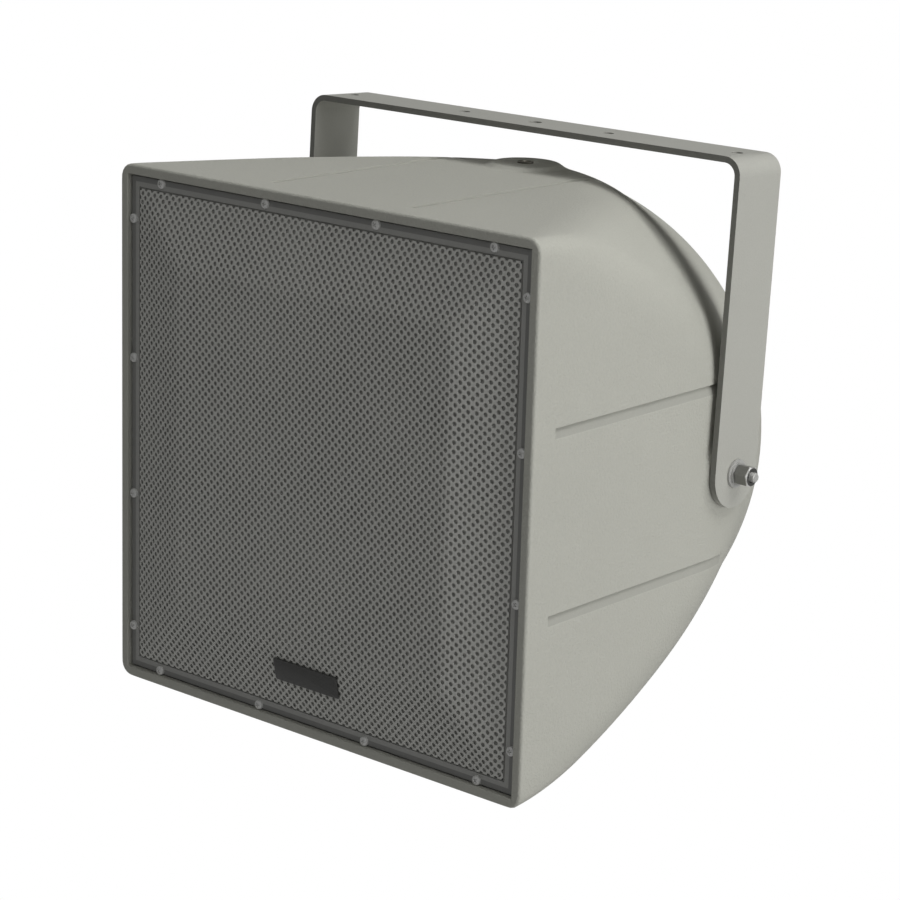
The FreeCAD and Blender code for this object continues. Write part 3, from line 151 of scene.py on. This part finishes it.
def surface(name, color, rough, metal=0.0, grain=600.0, bump=0.15, bump_size=0.0004, mottle=0.06, mottle_scale=9.0,
            stretch=(1, 1, 1), coat=0.0, sheen=0.0, specular=0.5):
    """Colour that drifts a little, a fine grain in the surface, and roughness that follows the drift."""
    material = bpy.data.materials.new(name)
    material.use_nodes = True
    tree = material.node_tree
    link = tree.links.new
    shader = tree.nodes["Principled BSDF"]
    where = add(tree, "ShaderNodeTexCoord")
    place = add(tree, "ShaderNodeMapping", _Scale=stretch)
    link(where.outputs["Object"], place.inputs["Vector"])
    fine = add(tree, "ShaderNodeTexNoise", _Scale=grain, _Detail=3.0, _Roughness=0.6)
    link(place.outputs["Vector"], fine.inputs["Vector"])
    broad = add(tree, "ShaderNodeTexNoise", _Scale=mottle_scale, _Detail=5.0, _Roughness=0.55)
    link(where.outputs["Object"], broad.inputs["Vector"])
    drift = add(tree, "ShaderNodeMix", data_type="RGBA")
    drift.inputs[MIX_A].default_value = (*[c * (1 - mottle) for c in color], 1)
    drift.inputs[MIX_B].default_value = (*[min(c * (1 + mottle), 1.0) for c in color], 1)
    link(broad.outputs["Fac"], drift.inputs[0])
    speck = add(tree, "ShaderNodeMapRange", _From_Min=0.3, _From_Max=0.7, _To_Min=1.0 - mottle,
                _To_Max=1.0 + mottle * 0.6)
    link(fine.outputs["Fac"], speck.inputs["Value"])
    link(scaled(tree, drift.outputs[MIX_RESULT], speck.outputs["Result"]), shader.inputs["Base Color"])
    gloss = add(tree, "ShaderNodeMapRange", _To_Min=max(rough - ROUGH_SWING, 0.05),
                _To_Max=min(rough + ROUGH_SWING, 1.0))
    link(broad.outputs["Fac"], gloss.inputs["Value"])
    link(gloss.outputs["Result"], shader.inputs["Roughness"])
    relief = add(tree, "ShaderNodeBump", _Strength=bump, _Distance=bump_size)
    link(fine.outputs["Fac"], relief.inputs["Height"])
    link(relief.outputs["Normal"], shader.inputs["Normal"])
    shader.inputs["Metallic"].default_value = metal
    shader.inputs["Specular IOR Level"].default_value = specular
    shader.inputs["Coat Weight"].default_value = coat
    shader.inputs["Sheen Weight"].default_value = sheen
    return material


def paint_end_shade(material, amount):
    """Paints shade onto the narrow faces of the strap that look forwards and back: their colour is taken down to the
    amount.
    """
    tree = material.node_tree
    link = tree.links.new
    base = tree.nodes["Principled BSDF"].inputs["Base Color"]
    where = add(tree, "ShaderNodeTexCoord")
    parts = add(tree, "ShaderNodeSeparateXYZ")
    link(where.outputs["Normal"], parts.inputs[0])
    size = add(tree, "ShaderNodeMath", operation="ABSOLUTE")
    link(parts.outputs["Y"], size.inputs[0])
    share = add(tree, "ShaderNodeMapRange", _From_Min=0.6, _From_Max=0.95, _To_Min=1.0, _To_Max=amount)
    link(size.outputs[0], share.inputs["Value"])
    link(scaled(tree, base.links[0].from_socket, share.outputs["Result"]), base)


moulded = surface("moulded_grey", (0.46, 0.46, 0.41), 0.62, grain=420.0, bump=0.9, bump_size=0.0008, mottle=0.035,
                  specular=0.35)
# Painted shade: the grooves' ramp floors get this darker moulding colour in place of their shadow
groove_floor_shade = surface("groove_floor_shade", (0.385, 0.385, 0.345), 0.6, grain=420.0, bump=0.4, bump_size=0.0006,
                       mottle=0.03, specular=0.35)
grille_paint = surface("grille_steel", (0.58, 0.58, 0.545), 0.5, grain=900.0, bump=0.1, mottle=0.05)
margin_paint = surface("grille_margin", (0.37, 0.37, 0.35), 0.5, grain=900.0, bump=0.1, mottle=0.05)
# Painted shade: the flange is darker than the sheet, standing in for the lip's shadow in the recess
flange_painted_shade = surface("grille_flange", (0.225, 0.225, 0.215), 0.5, grain=900.0, bump=0.1, mottle=0.05)
yoke_paint = surface("yoke_steel", (0.44, 0.44, 0.4), 0.5, grain=500.0, bump=0.6, bump_size=0.0006, mottle=0.03,
                     specular=0.4)
# Painted shade on the strap's forward and backward narrow faces, down to 0.48 of the paint's colour
paint_end_shade(yoke_paint, 0.48)
bright = surface("bright_steel", (0.5, 0.5, 0.48), 0.32, metal=1.0, grain=500.0, bump=0.08, mottle=0.06,
                 stretch=(1, 8, 8))
# The nut's flats are given a dark steel as a painted dark reflection, and their chamfer a painted highlight further
# down
nut_dark_reflection = surface("nut_flats", (0.27, 0.27, 0.26), 0.36, metal=1.0, grain=500.0, bump=0.08, mottle=0.08)
washer_steel = surface("washer_faces", (0.5, 0.5, 0.48), 0.42, metal=0.25, grain=700.0, bump=0.1, mottle=0.08)
head_steel = surface("screw_heads", (0.74, 0.74, 0.72), 0.42, metal=0.25, grain=800.0, bump=0.1, mottle=0.1)
foam = surface("dark_foam", (0.34, 0.34, 0.32), 0.95, grain=700.0, bump=1.0, bump_size=0.001, mottle=0.3,
               specular=0.1)
badge_paint = surface("badge_dark", (0.062, 0.062, 0.058), 0.35, grain=500.0, bump=0.05, mottle=0.1, coat=0.2)
black_plastic = surface("black_plastic", (0.03, 0.03, 0.03), 0.5, grain=500.0, bump=0.3, mottle=0.15)
black_paint = surface("black_paint", (0.025, 0.025, 0.026), 0.45, grain=400.0, bump=0.25, mottle=0.15)
rubber = surface("seal_rubber", (0.025, 0.025, 0.025), 0.8, grain=300.0, bump=0.2, mottle=0.2)
paper = surface("cone_paper", (0.05, 0.05, 0.048), 0.85, grain=250.0, bump=0.6, mottle=0.25, sheen=0.2)
cloth = surface("spider_cloth", (0.5, 0.38, 0.18), 0.85, grain=900.0, bump=0.8, mottle=0.15)
ferrite = surface("ferrite", (0.07, 0.07, 0.075), 0.55, metal=0.2, grain=300.0, bump=0.3, mottle=0.2)
zinc = surface("zinc_plate", (0.6, 0.6, 0.62), 0.35, metal=1.0, grain=200.0, bump=0.1, mottle=0.12)
copper = surface("copper_wire", (0.62, 0.26, 0.12), 0.35, metal=1.0, grain=900.0, bump=0.6, mottle=0.1,
                 stretch=(0.1, 1, 0.1))
insert_metal = surface("insert_brass", (0.2, 0.19, 0.16), 0.45, metal=0.9, grain=500.0, bump=0.15, mottle=0.15)
board = surface("board_green", (0.03, 0.13, 0.05), 0.4, grain=150.0, bump=0.1, mottle=0.2, mottle_scale=60.0)
yellow = surface("part_yellow", (0.6, 0.42, 0.06), 0.35, grain=200.0, bump=0.1, mottle=0.08)
ceramic = surface("ceramic_white", (0.75, 0.73, 0.68), 0.7, grain=300.0, bump=0.3, mottle=0.08)

FINISH = {
    "yoke_steel": yoke_paint, "moulded_grey": moulded, "insert_brass": insert_metal, "bright_steel": bright,
    "grille_steel": grille_paint, "dark_foam": foam, "badge_dark": badge_paint, "black_plastic": black_plastic,
    "black_paint": black_paint, "seal_rubber": rubber, "cone_paper": paper, "spider_cloth": cloth,
    "ferrite": ferrite, "zinc_plate": zinc, "copper_wire": copper, "board_green": board, "part_yellow": yellow,
    "ceramic_white": ceramic,
}

# CAD nodes keep their shape and get a finish, and the rigid ones that show get softened edges (m)
SOFT_EDGES = {"yoke": 0.0006, "large_washers": 0.0003, "small_washers": 0.0003, "input_cover": 0.0006,
              "cable_gland": 0.0005, "input_screws": 0.0003}
for entry in frame["record"]["subparts"]:
    node = frame["nodes"][entry["node"]]
    node.data.materials.clear()
    node.data.materials.append(washer_steel if "washers" in entry["node"] else FINISH[entry["material_slot"]])
    if entry["node"] in SOFT_EDGES:
        edge = node.modifiers.new("soft_edges", "BEVEL")
        edge.width = SOFT_EDGES[entry["node"]]
        edge.segments = 2
        edge.limit_method = "ANGLE"
        edge.angle_limit = math.radians(40)
        edge.harden_normals = False


# Mesh helpers

def add_piece(name, points, faces, material, sharp):
    """A smooth-shaded piece of the cabinet's body, with creases where faces meet at more than an angle (degrees)."""
    mesh = bpy.data.meshes.new(name)
    mesh.from_pydata([tuple(point) for point in points], [], faces)
    mesh.validate()
    mesh.update()
    mesh.shade_smooth()
    mesh.set_sharp_from_angle(angle=math.radians(sharp))
    piece = bpy.data.objects.new(name, mesh)
    scene.collection.objects.link(piece)
    mesh.materials.append(material)
    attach(piece, "cabinet")
    return piece


def paint_faces(piece, material, wanted):
    """Gives the faces that a test picks a material of their own."""
    piece.data.materials.append(material)
    for face in piece.data.polygons:
        if wanted(face):
            face.material_index = 1


def grid_faces(rows, columns, start=0, flip=False):
    """The faces between closed rings of points."""
    faces = []
    for r in range(rows - 1):
        for c in range(columns):
            a = start + r * columns + c
            b = start + r * columns + (c + 1) % columns
            face = (a, b, b + columns, a + columns)
            faces.append(face[::-1] if flip else face)
    return faces


def soft_min(a, b, k):
    """The smaller of two values, eased where they are less than k apart."""
    return min(a, b) - max(k - abs(a - b), 0.0) ** 2 / (4 * k)


def soft_max(a, b, k):
    return -soft_min(-a, -b, k)


# Cabinet skin: the drafted square and the round form behind it, blended softly where they meet

INNER_X = [0, 10, 20, 30, 40, 50, 60, 70, 76, GROOVE_X - GROOVE_HALF, GROOVE_X - FLOOR_HALF, GROOVE_X + FLOOR_HALF,
           GROOVE_X + GROOVE_HALF, 96, 102, 110]
CORNER_STEPS = 36


def round_radius(s):
    """The round form's radius: a slow bow at the corners that runs into the sphere."""
    if s >= CORNER_LINE[-2][0]:
        return math.sqrt(SPHERE_R ** 2 - (s - SPHERE_S) ** 2)
    n = next(i for i, (depth, _) in enumerate(CORNER_LINE) if depth > s)
    (s0, r0), (s1, r1), (s2, r2) = CORNER_LINE[n - 1:n + 2]
    before_s, before_r = CORNER_LINE[max(n - 2, 0)]
    slope_in = (r1 - before_r) / (s1 - before_s)
    slope_out = (r2 - r0) / (s2 - s0)
    run = s1 - s0
    t = (s - s0) / run
    return ((2 * t ** 3 - 3 * t ** 2 + 1) * r0 + (t ** 3 - 2 * t ** 2 + t) * run * slope_in
            + (3 * t ** 2 - 2 * t ** 3) * r1 + (t ** 3 - t ** 2) * run * slope_out)


def square_radius(angle, half, corner):
    """Distance to a round-cornered square along an angle of 0 to 45 degrees from a side's middle."""
    ca, sa = math.cos(angle), math.sin(angle)
    if half * math.tan(angle) <= half - corner:
        return half / ca
    c = half - corner
    return c * (ca + sa) + math.sqrt(max((c * (ca + sa)) ** 2 - 2 * c * c + corner * corner, 0.0))


def outline_radius(angle, s, inset, round_r):
    """Distance to the skin along an angle from a side's middle. The crease softens from 5 mm there to 22 mm."""
    half = MOUTH_HALF - s * DRAFT - inset
    softness = 5.0 + 17.0 * min(abs(angle) / 0.5, 1.0)
    return soft_min(square_radius(abs(angle), half, max(CORNER - inset, 0.5)), round_r - inset, softness)


def side_height(x, s, inset, round_r):
    """How far from the axis the skin lies over a place x along a side, found in six rounds."""
    z = MOUTH_HALF
    for _ in range(6):
        r = outline_radius(math.atan2(x, z), s, inset, round_r)
        z = math.sqrt(max(r * r - x * x, 1.0))
    return z


def corner_angle(share, height):
    """The angle at a share of the way from the last fixed column to the corner."""
    first = math.atan2(INNER_X[-1], height)
    return first + (math.pi / 4 - first) * abs(share)


def corner_place(share, s, inset, round_r):
    """A place on the skin, between the last fixed column and the corner."""
    angle = corner_angle(share, side_height(INNER_X[-1], s, inset, round_r))
    r = outline_radius(angle, s, inset, round_r)
    return math.copysign(r * math.sin(angle), share), r * math.cos(angle)


def opening_place(kind, value, half):
    """A place on the square opening, in the skin's columns."""
    if kind == "x":
        return value, half
    return math.copysign(half * math.tan(corner_angle(value, half)), value), half


def groove_place(value, lean):
    """Where a column lies and the height of the groove's floor there, if it has one."""
    past = value - math.copysign(GROOVE_X, value)
    if abs(past) > GROOVE_HALF + 0.1:
        return value, None
    lower = past * lean > 0
    depth = RAMP_DEPTHS[lower] if lean else LEVEL_DEPTH
    floor = GROOVE_EDGE - depth if abs(past) < FLOOR_HALF + 0.1 else None
    return value + lean * RAMP_DROPS[lower], floor


def on_side(side, x, s, z):
    """A place on one of the four sides (top, right, bottom, left) in the shared frame."""
    ca, sa = math.cos(side * math.pi / 2), math.sin(side * math.pi / 2)
    return cab(x * ca + z * sa, s, z * ca - x * sa)


def side_columns():
    """A side's columns: fixed x near the middle, then shares of the angle to the corner."""
    half = [("x", x) for x in INNER_X] + [("corner", n / CORNER_STEPS) for n in range(1, CORNER_STEPS + 1)]
    return [(kind, -value) for kind, value in reversed(half[1:-1])] + half


def skin_rows():
    """(depth, inset, radius of the round form, whether the grooves cut here)"""
    step, lip_steps, back_steps = 5.0, 7, 6
    rows = []
    for n in range(lip_steps + 1):
        a = math.pi / 2 * n / lip_steps
        rows.append((LIP_ROUND * (1 - math.cos(a)), LIP_ROUND * (1 - math.sin(a)), False))
    rows += [(10.0 + n * step, 0.0, False) for n in range(4)]
    rows += [(GROOVE_START - 0.05, 0.0, False), (GROOVE_START + 0.05, 0.0, True)]
    rows += [(36.0 + n * step, 0.0, True) for n in range(82)]
    rows = [(s, inset, round_radius(s), grooved) for s, inset, grooved in rows]
    centre_s = BACK_S - BACK_ROUND
    centre_r = math.sqrt((SPHERE_R - BACK_ROUND) ** 2 - (centre_s - SPHERE_S) ** 2)
    start = math.atan2(centre_s - SPHERE_S, centre_r)
    for n in range(back_steps + 1):
        a = start + (math.pi / 2 - start) * n / back_steps
        rows.append((centre_s + BACK_ROUND * math.sin(a), 0.0, centre_r + BACK_ROUND * math.cos(a), False))
    return rows


def pad_height(x, y, radius):
    """A pad's flat and flank, blended into the skin. Where the flank has run out, the ring dips under the skin."""
    s = PIVOT_DEPTH + y
    skin = side_height(x, s, 0.0, round_radius(s))
    flank = soft_min(PAD_TOP, PAD_TOP - (radius - PAD_R), PAD_EDGE_BLEND)
    return soft_max(skin, flank, PAD_FOOT_BLEND) - PAD_DIP * max(skin - flank - PAD_DIP_START, 0.0)


def add_pads(points, faces):
    """Round flats with a socket, whose flanks run softly into the skin around them."""
    rings = [(SOCKET_R, SOCKET_DEPTH), (SOCKET_R, SOCKET_EDGE), (SOCKET_R + SOCKET_EDGE, 0.0)]
    rings += [(radius, None) for radius in PAD_RINGS]
    for side in range(4):
        start = len(points)
        for radius, sunk in rings:
            for n in range(PAD_STEPS):
                a = 2 * math.pi * n / PAD_STEPS
                x, y = radius * math.cos(a), radius * math.sin(a)
                height = pad_height(x, y, radius) if sunk is None else PAD_TOP - sunk
                points.append(on_side(side, x, PIVOT_DEPTH + y, height))
        faces += grid_faces(len(rings), PAD_STEPS, start, flip=True)


def build_cabinet():
    """The whole moulding's skin, ring by ring from the grille's ledge over the lip to the flat back."""
    columns = side_columns()
    ring = 4 * len(columns)
    points, floor_shade_points = [], set()
    opening = ((LEDGE_DEPTH, OPENING_HALF), (OPENING_ROUND, OPENING_HALF), (0.0, OPENING_HALF + OPENING_ROUND))
    for s, half in opening:
        for side in range(4):
            for kind, value in columns:
                x, z = opening_place(kind, value, half)
                points.append(on_side(side, x, s, z))
    for s, inset, round_r, grooved in skin_rows():
        for side, lean in enumerate(SIDE_LEANS):
            for kind, value in columns:
                if kind == "x":
                    x, floor = groove_place(value, lean)
                    z = side_height(x, s, inset, round_r)
                    if grooved and floor is not None:
                        # Ramp floor points that get the painted shade of the groove
                        if lean and (floor < z - PAINTED_DEPTH or floor > GROOVE_EDGE - SHALLOW_DEPTH):
                            floor_shade_points.add(len(points))
                        z = min(z, floor)
                else:
                    x, z = corner_place(value, s, inset, round_r)
                points.append(on_side(side, x, s, z))
    # The flat back: the last ring drawn in towards the middle
    middle = cab(0, BACK_S, 0)
    rim = points[-ring:]
    for share in (0.75, 0.5, 0.25):
        points += [middle + share * (point - middle) for point in rim]
    faces = grid_faces(len(points) // ring, ring)
    last, centre = len(points) - ring, len(points)
    points.append(middle)
    faces += [(last + c, last + (c + 1) % ring, centre) for c in range(ring)]
    add_pads(points, faces)
    piece = add_piece("cabinet_skin", points, faces, moulded, sharp=28.0)
    # The grooves' ramp floors are painted darker, as painted shade
    paint_faces(piece, groove_floor_shade, lambda face: floor_shade_points.issuperset(face.vertices))
    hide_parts("cabinet")


# Grille: crowned sheet with staggered round holes

def crown(x, z):
    """How far the sheet stands out of its flange at a place."""
    share = (CROWN_EDGE - soft_max(abs(x), abs(z), CROWN_CORNER)) / (CROWN_EDGE - CROWN_FLAT)
    return CROWN_RISE * soft_max(soft_min(share, 1.0, CROWN_TOP_BLEND), 0.0, CROWN_FOOT_BLEND)


def build_grille_mesh():
    """Four corners of sheet round each hole, with the hole's wall behind them."""
    points, faces, seen = [], [], {}

    def at(x, z, back=0.0):
        key = (round(x, 2), round(z, 2), back)
        if key not in seen:
            seen[key] = len(points)
            points.append(cab(x, GRILLE_FRONT - crown(x, z) + back, z))
        return seen[key]

    limit = FIELD + 0.01
    corners = [(HOLE_STEP, 0), (0, HOLE_STEP), (-HOLE_STEP, 0), (0, -HOLE_STEP)]
    for i in range(-HOLES_PER_HALF, HOLES_PER_HALF + 1):
        for j in range(-HOLES_PER_HALF, HOLES_PER_HALF + 1):
            if (i + j) % 2:
                continue
            x, z = i * HOLE_STEP, j * HOLE_STEP
            for quarter in range(4):
                angles = [math.radians(90 * quarter + 45 * n) for n in range(3)]
                rim = [(x + HOLE_R * math.cos(a), z + HOLE_R * math.sin(a)) for a in angles]
                outer = [(x + dx, z + dz) for dx, dz in (corners[quarter], corners[(quarter + 1) % 4])]
                if any(abs(px) > limit or abs(pz) > limit for px, pz in outer):
                    continue
                face = [at(*outer[0]), at(*outer[1]), at(*rim[2]), at(*rim[1]), at(*rim[0])]
                faces.append(face[::-1])
                for first, second in zip(rim, rim[1:]):
                    faces.append((at(*first), at(*second), at(*second, back=HOLE_WALL), at(*first, back=HOLE_WALL)))
    piece = add_piece("grille_mesh", points, faces, grille_paint, sharp=35.0)
    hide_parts("grille")


def build_grille_flange():
    """The flat flange, with the pressed line between it and the open field."""
    steps = [i * HOLE_STEP for i in range(-HOLES_PER_HALF, HOLES_PER_HALF + 1)]
    loop = [(x, -FIELD) for x in steps] + [(FIELD, z) for z in steps[1:]]
    loop += [(x, FIELD) for x in reversed(steps[:-1])] + [(-FIELD, z) for z in reversed(steps[1:-1])]
    line = [FIELD + edge for edge in LINE_EDGES]
    section = [
        (FIELD, GRILLE_FRONT), (line[0], GRILLE_FRONT + LINE_DEPTH), (line[1], GRILLE_FRONT + LINE_DEPTH),
        (line[2], GRILLE_FRONT), (FIELD + MARGIN, GRILLE_FRONT), (GRILLE_HALF - GRILLE_EDGE, GRILLE_FRONT),
        (GRILLE_HALF, GRILLE_FRONT + GRILLE_EDGE), (GRILLE_HALF, GRILLE_BACK),
    ]
    points = [cab(x * half / FIELD, s, z * half / FIELD) for half, s in section for x, z in loop]
    piece = add_piece("grille_flange", points, grid_faces(len(section), len(loop)), flange_painted_shade,
                      sharp=35.0)
    # The sheet's bare margin and the pressed line keep a lighter colour, and the flange outside them is painted
    # darker as the shade that the lip casts into the recess
    margin_faces = section.index((FIELD + MARGIN, GRILLE_FRONT)) * len(loop)
    paint_faces(piece, margin_paint, lambda face: face.index < margin_faces)
    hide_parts("grille")


def build_badge():
    """A bare plate with rounded corners that lies on the crown's lower slope."""
    half_x, half_z, corner, thick = 41.0, 11.3, 2.2, 2.2
    middle_x, middle_z = 1.5, -198.2
    slope = CROWN_RISE / (CROWN_EDGE - CROWN_FLAT)
    base = GRILLE_FRONT - slope * (CROWN_EDGE + middle_z)
    outline = []
    for quarter, (side_x, side_z) in enumerate(((1, 1), (-1, 1), (-1, -1), (1, -1))):
        for n in range(7):
            a = math.radians(90 * quarter + 15 * n)
            outline.append((side_x * (half_x - corner), side_z * (half_z - corner), math.cos(a), math.sin(a)))
    layers = ((0.0, 0.0), (0.0, thick - 0.5), (0.2, thick - 0.15), (0.6, thick))
    points = []
    for shrink, height in layers:
        for cx, cz, dx, dz in outline:
            x, z = cx + dx * (corner - shrink), cz + dz * (corner - shrink)
            points.append(cab(middle_x + x, base - z * slope - height, middle_z + z))
    faces = grid_faces(len(layers), len(outline))
    faces.append(tuple(range(len(points) - len(outline), len(points))))
    piece = add_piece("bare_badge", points, faces, badge_paint, sharp=30.0)
    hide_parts("grille_badge")


# Fasteners

def build_screw_heads():
    """Sixteen domed heads with cross recesses, each turned its own way."""
    line, spacing = 246.0, 138.3
    head_r, rim_r, rim_height = 4.7, 4.66, 1.2
    dome_height, dome_fall, dome_power = 3.2, 1.3, 2.6
    slot_half, slot_reach, slot_depth = 0.5, 2.3, 1.5
    segments = 48
    radii = [0.35, 0.7, 1.05, 1.4, 1.75, 2.1, 2.45, 2.8, 3.3, 3.9, 4.4, rim_r, head_r]
    places = []
    for step in (-1.5, -0.5, 0.5, 1.5):
        along = spacing * step
        places += [(along, line), (along, -line), (line, along), (-line, along)]
    points, faces = [], []
    for number, (px, pz) in enumerate(places):
        twist = math.radians(17 + 37 * number)
        start = len(points)
        for r in radii:
            for n in range(segments):
                a = 2 * math.pi * n / segments
                x, z = r * math.cos(a), r * math.sin(a)
                height = dome_height - dome_fall * (r / head_r) ** dome_power
                if r >= rim_r:
                    height = rim_height if r < head_r else 0.0
                near, far = sorted((abs(x), abs(z)))
                if near < slot_half and far < slot_reach:
                    height -= slot_depth
                cx = x * math.cos(twist) - z * math.sin(twist)
                cz = x * math.sin(twist) + z * math.cos(twist)
                points.append(cab(px + cx, GRILLE_FRONT - height, pz + cz))
        faces += grid_faces(len(radii), segments, start)
        centre = len(points)
        points.append(cab(px, GRILLE_FRONT - (dome_height - slot_depth), pz))
        faces += [(start + (n + 1) % segments, start + n, centre) for n in range(segments)]
    piece = add_piece("grille_screw_heads", points, faces, head_steel, sharp=40.0)
    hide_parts("grille_screws")


def lathe_x(points, faces, profile, steps, sign, radius_at):
    """Turns (x, radius) points about the studs' axis, on the side that the sign gives."""
    start = len(points)
    for x, radius in profile:
        for n in range(steps):
            a = 2 * math.pi * n / steps
            r = radius_at(x, radius, a)
            points.append(cab(sign * x, PIVOT_DEPTH + r * math.cos(a), r * math.sin(a)))
    faces += grid_faces(len(profile), steps, start, flip=sign > 0)


def build_nuts():
    """Tall hexagon nuts, chamfered at both ends."""
    start, length, flats, steps = 274.3, 15.0, 9.0, 96
    bore, bore_inner, bore_outer, bore_chamfer = 5.9, 5.3, 5.1, 0.6
    end = start + length
    turn = math.radians(12)
    chamfer = [(t, flats - 0.15 + t * 1.25) for t in (0.0, 0.3, 0.6, 0.9, 1.2, 1.6)]
    rows = [(start, bore_inner), (start, bore)] + [(start + t, radius) for t, radius in chamfer]
    highlight_chamfer = range(len(rows), len(rows) + len(chamfer) - 1)
    rows += [(end - t, radius) for t, radius in reversed(chamfer)] + [(end, bore), (end - bore_chamfer, bore_outer)]

    def hexagon(x, radius, a):
        across = (a + turn) % (math.pi / 3) - math.pi / 6
        return min(radius, flats / math.cos(across))

    points, faces = [], []
    for sign in (1, -1):
        lathe_x(points, faces, rows, steps, sign, hexagon)
    piece = add_piece("tall_nuts", points, faces, nut_dark_reflection, sharp=25.0)
    # The outer chamfer gets the light head finish as a painted highlight, and the flats and the end a darker steel as
    # a painted dark reflection
    paint_faces(piece, head_steel, lambda face: face.index // steps % (len(rows) - 1) in highlight_chamfer)
    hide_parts("pivot_nuts")


def build_studs():
    """Studs with a cut thread and a chamfered end."""
    first, last, pitch = 247.1, 294.0, 1.5
    crest, thread_depth, first_r, chamfer_r, end_r = 4.9, 0.75, 4.3, 4.05, 3.7
    closed = 0.01
    count = int((last - first) / (pitch / 4))
    rows = [(first, closed), (first, first_r)]
    rows += [(first + 0.4 + (last - first - 1.2) * n / count, crest) for n in range(count + 1)]
    rows += [(last - 0.5, chamfer_r), (last, end_r), (last, closed)]

    def thread(x, radius, a):
        if radius < crest:
            return radius
        phase = (x / pitch - a / (2 * math.pi)) % 1.0
        return crest - thread_depth * (1 - abs(2 * phase - 1))

    points, faces = [], []
    for sign in (1, -1):
        lathe_x(points, faces, rows, 32, sign, thread)
    piece = add_piece("threaded_studs", points, faces, washer_steel, sharp=50.0)
    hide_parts("pivot_studs")


build_cabinet()
build_grille_mesh()
build_grille_flange()
build_badge()
build_screw_heads()
build_nuts()
build_studs()


# Stage, camera and light, in metres

FLOOR_EDGE = 30.0
FLOOR_HEIGHT = -1.3


def white_to_camera(tree, seen, unseen, output):
    """Shows the camera one shader, and the light that bounces about the other."""
    ray = add(tree, "ShaderNodeLightPath")
    both = add(tree, "ShaderNodeMixShader")
    tree.links.new(ray.outputs["Is Camera Ray"], both.inputs["Fac"])
    tree.links.new(unseen, both.inputs[1])
    tree.links.new(seen, both.inputs[2])
    tree.links.new(both.outputs["Shader"], output.inputs["Surface"])


floor_mesh = bpy.data.meshes.new("floor")
floor_corners = [(FLOOR_EDGE * x, FLOOR_EDGE * y, FLOOR_HEIGHT) for x, y in ((-1, -1), (1, -1), (1, 1), (-1, 1))]
floor_mesh.from_pydata(floor_corners, [], [(0, 1, 2, 3)])
floor = bpy.data.objects.new("floor", floor_mesh)
scene.collection.objects.link(floor)
# The floor is lit to white where the camera sees it, and gives back half of what falls on it
pale_floor = surface("pale_floor", (0.5, 0.5, 0.5), 0.9, grain=40.0, bump=0.05, mottle=0.01)
floor_tree = pale_floor.node_tree
lit = add(floor_tree, "ShaderNodeEmission", _Color=(1, 1, 1, 1), _Strength=1.0)
white_to_camera(floor_tree, lit.outputs["Emission"], floor_tree.nodes["Principled BSDF"].outputs["BSDF"],
                floor_tree.nodes["Material Output"])
floor_mesh.materials.append(pale_floor)

# The camera is fixed in the cabinet's frame, 1822.7 mm in front of the screw heads, which stand 2 mm behind the lip
CAMERA_PLACE = Vector((1.7094, (2.0 - 1822.7 - PIVOT_DEPTH) / 1000, 0.6981))
CAMERA_RIGHT = Vector((0.7575, 0.6522, 0.0297))
CAMERA_UP = Vector((-0.1910, 0.1779, 0.9653))
CAMERA_BACK = Vector((0.6243, -0.7369, 0.2593))

camera_data = bpy.data.cameras.new("camera")
camera_data.sensor_width = 36.0
camera_data.lens = 111.27
camera_data.clip_end = 100.0
camera = bpy.data.objects.new("camera", camera_data)
scene.collection.objects.link(camera)
view = Matrix((CAMERA_RIGHT, CAMERA_UP, CAMERA_BACK)).transposed().to_4x4()
view.translation = CAMERA_PLACE
camera.matrix_world = hang @ view
scene.camera = camera

LIGHT_AIM = Vector((0, 0, -0.3))


def area_light(name, place, size, power):
    data = bpy.data.lights.new(name, "AREA")
    data.shape = "SQUARE"
    data.size = size
    data.energy = power
    light = bpy.data.objects.new(name, data)
    scene.collection.objects.link(light)
    facing = (LIGHT_AIM - Vector(place)).to_track_quat("-Z", "Y").to_matrix().to_4x4()
    light.matrix_world = Matrix.Translation(place) @ facing


area_light("key_right", (3.2, 0.25, -0.1), 1.6, 48)
area_light("high_right", (2.2, 0.2, 2.4), 1.6, 30)
area_light("high_front", (2.0, -0.9, 2.4), 1.2, 10)
area_light("top_soft", (0.1, 0.5, 3.0), 1.0, 30)
area_light("left_soft", (-3.6, 1.6, -0.2), 2.0, 32)
area_light("front_soft", (1.0, -3.2, 1.8), 2.6, 15)

world = bpy.data.worlds.new("studio")
scene.world = world
world.use_nodes = True
world_tree = world.node_tree
fill = world_tree.nodes["Background"]
fill.inputs["Color"].default_value = (1, 1, 1, 1)
fill.inputs["Strength"].default_value = 0.12
seen_sky = add(world_tree, "ShaderNodeBackground", _Color=(1, 1, 1, 1), _Strength=1.0)
white_to_camera(world_tree, seen_sky.outputs["Background"], fill.outputs["Background"],
                world_tree.nodes["World Output"])
scene.view_settings.view_transform = "Standard"
scene.view_settings.look = "None"
